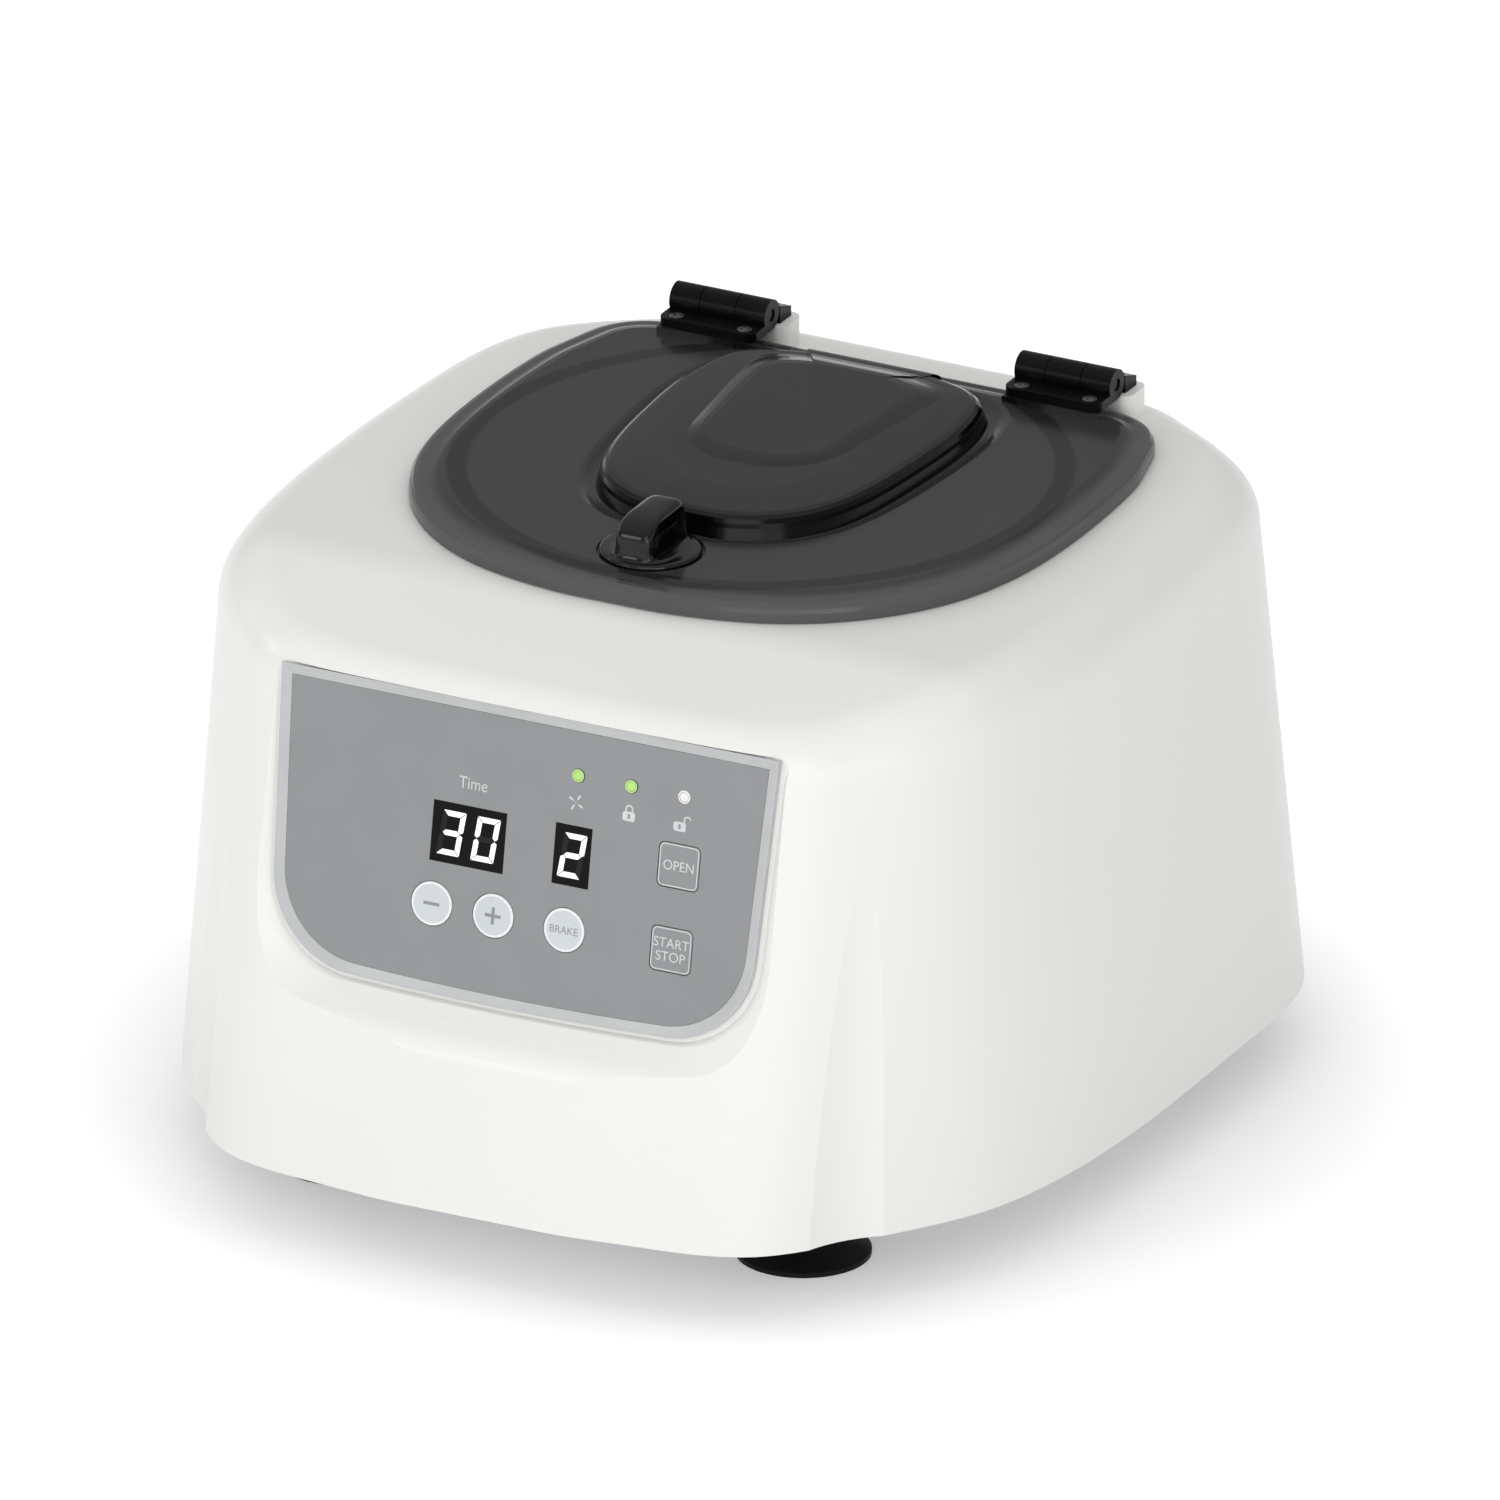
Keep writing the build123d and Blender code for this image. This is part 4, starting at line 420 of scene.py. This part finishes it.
# Lamps: clear lenses over LEDs, two lit green and one white. Each green one has a pale rim and sits
# in a hole, with a painted shadow of the hole's edge as a dark crescent on one side. The white one
# has a white rim.
lamps_down = 17.4
rim_in, rim_out = 1.66, 2.02
green = moulding("green lens", (0.42, 0.68, 0.19), (0.36, 0.62, 0.14), 0.25, 600, 0.00001)
shine(green, (0.47, 0.78, 0.2), 0.15)
dress(green, "lamp_run", "lamp_locked")
white_lens = moulding("white lens", (0.88, 0.88, 0.88), (0.84, 0.84, 0.84), 0.25, 600, 0.00001)
dress(white_lens, "lamp_unlocked")
pale_green = moulding("pale green ring", (0.6, 0.86, 0.36), (0.56, 0.82, 0.32), 0.4, 900, 0.00001)
hole_shadow_green = moulding("dark green ring", (0.012, 0.06, 0.006), (0.01, 0.05, 0.005), 0.45, 900,
                      0.00001)
for lamp, x in (("run", run_x), ("locked", locked_x)):
    rim = arc(x, lamps_down, rim_out)
    printed("ring_" + lamp, [[rim, arc(x, lamps_down, rim_in)]], film_face, pale_green,
            "housing")
    # Painted shadow: a dark green crescent, widest to the upper right, where the hole's edge shades
    # the lens.
    printed("shade_" + lamp, [[arc(x + 0.2, lamps_down - 0.07, 2.24), rim]], film_face, hole_shadow_green,
            "housing")
printed("ring_unlocked", [[arc(unlocked_x, lamps_down, 2.1), arc(unlocked_x, lamps_down, rim_in)]],
        film_face, white_lens, "housing")

# Lid: a 4 mm moulding in smoked acrylic. The seal's darker band shows through it. Its outer edge is
# painted paler, as painted light let in there, and the raised dome and its steep sides get painted
# shade.
lid_smoke = moulding("smoked lid", (0.039, 0.039, 0.0395), (0.036, 0.036, 0.0365), 0.17, 420,
                     0.000002, gloss=0.17, drift=12)
band_dark = 0.44
painted_rim_light, painted_dome_shade, painted_side_shade = 2.4, 0.68, 0.05


def reckon(web, operation, first, second=None):
    """The result of a sum on one or two values, each of them a socket or a number."""
    step = web.nodes.new("ShaderNodeMath")
    step.operation = operation
    for place, value in zip(step.inputs, (first, second)):
        if isinstance(value, (int, float)):
            place.default_value = value
        elif value is not None:
            web.links.new(value, place)
    return step.outputs["Value"]


def only_outside(web, inner, outer, share):
    """One value inside a border and another outside it, by the share that is outside."""
    step = web.nodes.new("ShaderNodeMix")
    for name, value in (("Factor", share), ("A", inner), ("B", outer)):
        if isinstance(value, (int, float)):
            step.inputs[name].default_value = value
        else:
            web.links.new(value, step.inputs[name])
    return step.outputs["Result"]


web = lid_smoke.node_tree
shader = web.nodes["Principled BSDF"]
coords = first_node(web, "TEX_COORD")
split = web.nodes.new("ShaderNodeSeparateXYZ")
web.links.new(coords.outputs["Object"], split.inputs["Vector"])
flat = web.nodes.new("ShaderNodeCombineXYZ")
web.links.new(split.outputs["X"], flat.inputs["X"])
web.links.new(reckon(web, "SUBTRACT", split.outputs["Y"], rotor_axis_y), flat.inputs["Y"])
reach = web.nodes.new("ShaderNodeVectorMath")
reach.operation = "LENGTH"
web.links.new(flat.outputs["Vector"], reach.inputs[0])
seal = remap(web, reach.outputs["Value"], 0.08, 0.105, 0, 1)
band = web.nodes.new("ShaderNodeValToRGB")
band.color_ramp.elements[0].position = 0.4
band.color_ramp.elements[0].color = (1, 1, 1, 1)
band.color_ramp.elements[1].position = 0.46
band.color_ramp.elements[1].color = (band_dark, band_dark, band_dark, 1)
for position, tone in ((0.66, band_dark), (0.72, 1.0)):
    band.color_ramp.elements.new(position).color = (tone, tone, tone, 1)
web.links.new(seal.outputs["Result"], band.inputs["Fac"])
outside = remap(web, reach.outputs["Value"], 0.088, 0.1, 0, 1).outputs["Result"]
# Painted light and shade: the rim beyond the seal is painted paler below the top, the dome is
# painted darker, and steep sides within the seal are painted nearly black.
edge = remap(web, split.outputs["Z"], 0.1988, 0.2, painted_rim_light, 1).outputs["Result"]
dome = remap(web, split.outputs["Z"], 0.2002, 0.2024, 1, painted_dome_shade).outputs["Result"]
lean = web.nodes.new("ShaderNodeSeparateXYZ")
web.links.new(coords.outputs["Normal"], lean.inputs["Vector"])
level = reckon(web, "ABSOLUTE", lean.outputs["Z"])
side = remap(web, level, 0.6, 0.93, painted_side_shade, 1).outputs["Result"]
# All the painted light and shade together, multiplied into the seal band's tone.
depth = reckon(web, "MULTIPLY", only_outside(web, 1, edge, outside), dome)
depth = reckon(web, "MULTIPLY", depth, only_outside(web, side, 1, outside))
clear = web.nodes.new("ShaderNodeVectorMath")
clear.operation = "SCALE"
web.links.new(band.outputs["Color"], clear.inputs["Vector"])
web.links.new(depth, clear.inputs["Scale"])
shown = web.nodes.new("ShaderNodeMix")
shown.data_type = "RGBA"
shown.blend_type = "MULTIPLY"
shown.inputs["Factor"].default_value = 1
web.links.new(shader.inputs["Base Color"].links[0].from_socket, shown.inputs["A"])
web.links.new(clear.outputs["Vector"], shown.inputs["B"])
web.links.new(shown.outputs["Result"], shader.inputs["Base Color"])
dress(lid_smoke, "lid_shell")

# Seal: a black rubber ring with a straight back, moulded in one piece and fixed under the lid.
# It lies on the deck round the chamber when the lid is shut.
seal_rubber = moulding("seal rubber", (0.03, 0.03, 0.03), (0.02, 0.02, 0.02), 0.55, 600, 0.00003)
dress(seal_rubber, "chamber_gasket")

# Latch knob: black ABS with a high gloss, screwed to a ground shaft with a plated steel tongue.
# A hood-shaped grip grows out of a round flange. Its sides are cored out to a web, with a round
# screw column and a shelf across, so that no wall is thick enough to sink.
knob_y = -43.1  # mm, as all sizes of the hood's outline are
hood_levels = (  # height, half width, half length, squareness, shift to the back
    (199.55, 15.7, 15.7, 2, 0), (199.8, 16, 16, 2, 0), (200.9, 16, 16, 2, 0),
    (201.35, 15.7, 15.7, 2, 0), (201.55, 15.1, 15.1, 2, 0), (201.6, 14.4, 14.8, 2, 0),
    (201.65, 12.6, 14.5, 2.2, 0), (201.9, 10.4, 14.1, 2.7, 0), (202.5, 8.6, 13.7, 3.6, 0),
    (203.6, 7.4, 13.4, 5, 0), (205.4, 6.8, 13.2, 6.5, 0), (208.2, 6.5, 13.1, 7, 0),
    (209.8, 6.4, 12.8, 7, 0.2), (211.3, 6.3, 12.1, 6.5, 0.6), (212.6, 6.05, 11.0, 6, 1.3),
    (213.6, 5.5, 9.6, 5.2, 2.0), (214.25, 4.6, 8.0, 4.6, 2.6), (214.6, 3.3, 6.1, 4, 3.0),
    (214.7, 1.4, 3.4, 3.2, 3.2),
)
hood_points = 120
pocket_corners = (  # along the knob, height, corner radius, first angle
    (11.6, 202.0, 2.4, -90), (11.6, 212.7, 3.6, 0), (-11.6, 212.7, 7.2, 90),
    (-11.6, 202.0, 2.4, 180),
)
pocket_middle = 205
column_radius = 2.6
shelf_width, shelf_length, shelf_corner = 9.4, 21.6, 3
web_half, past_side = 0.0011, 0.02  # metres, as the rest are
edge_round = 0.00035
column_low, column_top = 0.2015, 0.2130
shelf_low, shelf_top = 0.2068, 0.2078


def hood_ring(height, half_x, half_y, squareness, shift):
    """One level of the knob, from a circle at the flange to a rounded bar at the grip."""
    ring = []
    for i in range(hood_points):
        angle = 2 * math.pi * i / hood_points
        across, along = math.cos(angle), math.sin(angle)
        reach_out = (abs(across / half_x) ** squareness + abs(along / half_y) ** squareness) ** (
            -1 / squareness)
        ring.append((reach_out * across / 1000, (knob_y + shift + reach_out * along) / 1000,
                     height / 1000))
    return ring


def skin(rings):
    """Corners and faces of a closed skin through rings of as many points each."""
    count = len(rings[0])
    corners = [corner for ring in rings for corner in ring]
    faces = [tuple(reversed(range(count))), tuple(range(len(corners) - count, len(corners)))]
    for low in range(0, len(corners) - count, count):
        faces += [(low + i, low + (i + 1) % count, low + count + (i + 1) % count, low + count + i)
                  for i in range(count)]
    return corners, faces


def solid(name, skins):
    """An object made of one or more closed skins."""
    corners, faces = [], []
    for more_corners, more_faces in skins:
        faces += [tuple(len(corners) + i for i in face) for face in more_faces]
        corners += more_corners
    mesh = bpy.data.meshes.new(name)
    mesh.from_pydata(corners, [], faces)
    return placed(name, mesh)


pocket_edge = []
for along, up, corner, start in pocket_corners:
    middle_along = along - math.copysign(corner, along)
    middle_up = up - corner if up > pocket_middle else up + corner
    for step in range(9):
        angle = math.radians(start + 90 * step / 8)
        pocket_edge.append(((knob_y + middle_along + corner * math.cos(angle)) / 1000,
                            (middle_up + corner * math.sin(angle)) / 1000))
cores = [skin([[(x, y, z) for y, z in pocket_edge] for x in span])
         for span in ((web_half, past_side), (-past_side, -web_half))]
hood = solid("hood_draft", [skin([hood_ring(*level) for level in hood_levels])])
core = solid("core_draft", cores)
cored = hood.modifiers.new("cored", "BOOLEAN")
cored.object = core
cored.solver = "EXACT"
soft_edge = hood.modifiers.new("soft edge", "BEVEL")
soft_edge.width = edge_round
soft_edge.segments = 2
soft_edge.limit_method = "ANGLE"
soft_edge.angle_limit = math.radians(40)
bpy.context.view_layer.update()
cut_hood = hood.evaluated_get(bpy.context.evaluated_depsgraph_get())
hood_mesh = bpy.data.meshes.new_from_object(cut_hood)
column = [[(column_radius / 1000 * math.cos(a), knob_y / 1000 + column_radius / 1000 * math.sin(a),
            height) for a in (math.radians(7.5 * i) for i in range(48))]
          for height in (column_low, column_top)]
shelf = [[(x / 1000, (knob_y + y) / 1000, height)
          for x, y in box_loop(0, 0, shelf_width, shelf_length, shelf_corner)]
         for height in (shelf_low, shelf_top)]
inside = solid("inside_draft", [skin(column), skin(shelf)])
whole = bmesh.new()
whole.from_mesh(hood_mesh)
whole.from_mesh(inside.data)
bmesh.ops.recalc_face_normals(whole, faces=whole.faces)
knob_mesh = bpy.data.meshes.new("knob_hood")
whole.to_mesh(knob_mesh)
whole.free()
for draft in (hood, core, inside):
    bpy.data.objects.remove(draft)
knob_mesh.shade_smooth()
knob_mesh.set_sharp_from_angle(angle=math.radians(38))
knob = placed("knob_hood", knob_mesh)
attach(knob, "knob")
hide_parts("latch_knob")
knob_black = moulding("knob gloss", (0.004, 0.004, 0.004), (0.003, 0.003, 0.003), 0.15, 500,
                      0.000004, gloss=0.3)
dress(knob_black, "latch_knob")
knob_mesh.materials.append(knob_black)
dress(ground_steel, "latch_shaft")
dress(zinc, "latch_tongue")

# Lock: a solenoid in a steel frame, held by a bent bracket. Its ground plunger is the bolt that
# keeps the turned tongue from coming back.
coil_frame = moulding("solenoid frame", (0.5, 0.5, 0.5), (0.4, 0.4, 0.4), 0.4, 500, 0.00001,
                      metal=1.0)
dress(coil_frame, "lock_solenoid")
dress(ground_steel, "lock_bolt")

# Hinges: two pairs of leaves on a friction pin, moulded in black glass-filled nylon with a satin
# skin. Each leaf is held by two countersunk screws.
hinge_black = moulding("hinge satin", (0.004, 0.004, 0.004), (0.003, 0.003, 0.003), 0.3, 800,
                       0.00001, gloss=0.09)
dress(hinge_black, "hinge_lid_leaves", "hinge_body_leaves", "hinge_pins")

# Studio floor: a wide sheet of pale paper. It shows white to the camera and in gloss, and keeps the
# soft shadow, deepest close to the object, where its glow is painted lower as a painted shade.
floor_half = 20
shadow_near, shadow_far = 0.165, 0.3
glow_near, glow_far = 0.26, 0.57
floor_mesh = bpy.data.meshes.new("floor")
floor_mesh.from_pydata([(-floor_half, -floor_half, 0), (floor_half, -floor_half, 0),
                        (floor_half, floor_half, 0), (-floor_half, floor_half, 0)],
                       [], [(0, 1, 2, 3)])
floor = placed("floor", floor_mesh)
paper = bpy.data.materials.new("paper")
paper.use_nodes = True
web = paper.node_tree
shader = web.nodes["Principled BSDF"]
shader.inputs["Roughness"].default_value = 0.9
shader.inputs["Specular IOR Level"].default_value = 0.0
shader.inputs["Base Color"].default_value = (0.86, 0.86, 0.86, 1)
path = web.nodes.new("ShaderNodeLightPath")
seen = reckon(web, "MAXIMUM", path.outputs["Is Camera Ray"], path.outputs["Is Glossy Ray"])
seen = reckon(web, "MAXIMUM", seen, path.outputs["Is Transmission Ray"])
where = web.nodes.new("ShaderNodeTexCoord")
away = web.nodes.new("ShaderNodeVectorMath")
away.operation = "LENGTH"
web.links.new(where.outputs["Object"], away.inputs[0])
# The glow is weaker near the object: painted shade that deepens its shadow, rising to an even white
# farther out.
glow_and_painted_shade = remap(web, away.outputs["Value"], shadow_near, shadow_far, glow_near, glow_far)
glow_and_painted_shade.interpolation_type = "SMOOTHSTEP"
glow = web.nodes.new("ShaderNodeEmission")
web.links.new(reckon(web, "MULTIPLY", seen, glow_and_painted_shade.outputs["Result"]), glow.inputs["Strength"])
both = web.nodes.new("ShaderNodeAddShader")
web.links.new(shader.outputs["BSDF"], both.inputs[0])
web.links.new(glow.outputs["Emission"], both.inputs[1])
web.links.new(both.outputs["Shader"], web.nodes["Material Output"].inputs["Surface"])
floor_mesh.materials.append(paper)

# Surroundings: a studio that is white low down, like a lit backdrop, dimmer above it, and paler
# overhead, where its ceiling reflects the lamps.
world = bpy.data.worlds.new("studio")
world.use_nodes = True
bpy.context.scene.world = world
web = world.node_tree
direction = web.nodes.new("ShaderNodeTexCoord")
height = web.nodes.new("ShaderNodeSeparateXYZ")
web.links.new(direction.outputs["Generated"], height.inputs["Vector"])
sky = web.nodes.new("ShaderNodeValToRGB")
sky.color_ramp.elements[0].position = 0.03
sky.color_ramp.elements[0].color = (1, 1, 1, 1)
sky.color_ramp.elements[1].position = 0.16
sky.color_ramp.elements[1].color = (0.42, 0.42, 0.42, 1)
for position, tone in ((0.5, 0.46), (0.75, 0.82)):
    sky.color_ramp.elements.new(position).color = (tone, tone, tone, 1)
web.links.new(height.outputs["Z"], sky.inputs["Fac"])
web.links.new(sky.outputs["Color"], web.nodes["Background"].inputs["Color"])
web.nodes["Background"].inputs["Strength"].default_value = 1.0

# Lamps: a large softbox in front, a small one at the front left, a low one at the right corner
# for the sheen on that edge, and a small high fill from the left. Places in metres, power in W.
lit_point = Vector((0, 0.02, 0.1))
for name, place, size, power in (
    ("front_box", (0.6, -1.9, 0.9), 1.3, 10.8),
    ("front_spot", (-0.9, -1.7, 0.75), 0.5, 3.2),
    ("corner_box", (1.4, -1.4, 0.45), 0.7, 4.2),
    ("left_fill", (-1.9, -0.3, 1.0), 0.4, 2.5),
):
    lamp = bpy.data.lights.new(name, "AREA")
    lamp.size = size
    lamp.energy = power
    holder = placed(name, lamp)
    holder.location = place
    holder.rotation_euler = (lit_point - Vector(place)).to_track_quat("-Z", "Y").to_euler()

# Camera: a lens so long that there is no perspective, from the front right and above. It stands
# well clear of the object.
camera_turn, camera_rise = math.radians(27.1), math.radians(23.2)
aim = Vector((0, 0.0241, 0.1074))
view_width, camera_distance = 0.463, 2.0
back = Vector((math.sin(camera_turn) * math.cos(camera_rise),
               -math.cos(camera_turn) * math.cos(camera_rise), math.sin(camera_rise)))
camera_data = bpy.data.cameras.new("camera")
camera_data.type = "ORTHO"
camera_data.ortho_scale = view_width
camera = placed("camera", camera_data)
camera.location = aim + back * camera_distance
camera.rotation_euler = back.to_track_quat("Z", "Y").to_euler()
bpy.context.scene.camera = camera
bpy.context.scene.view_settings.view_transform = "Standard"

bpy.context.view_layer.update()
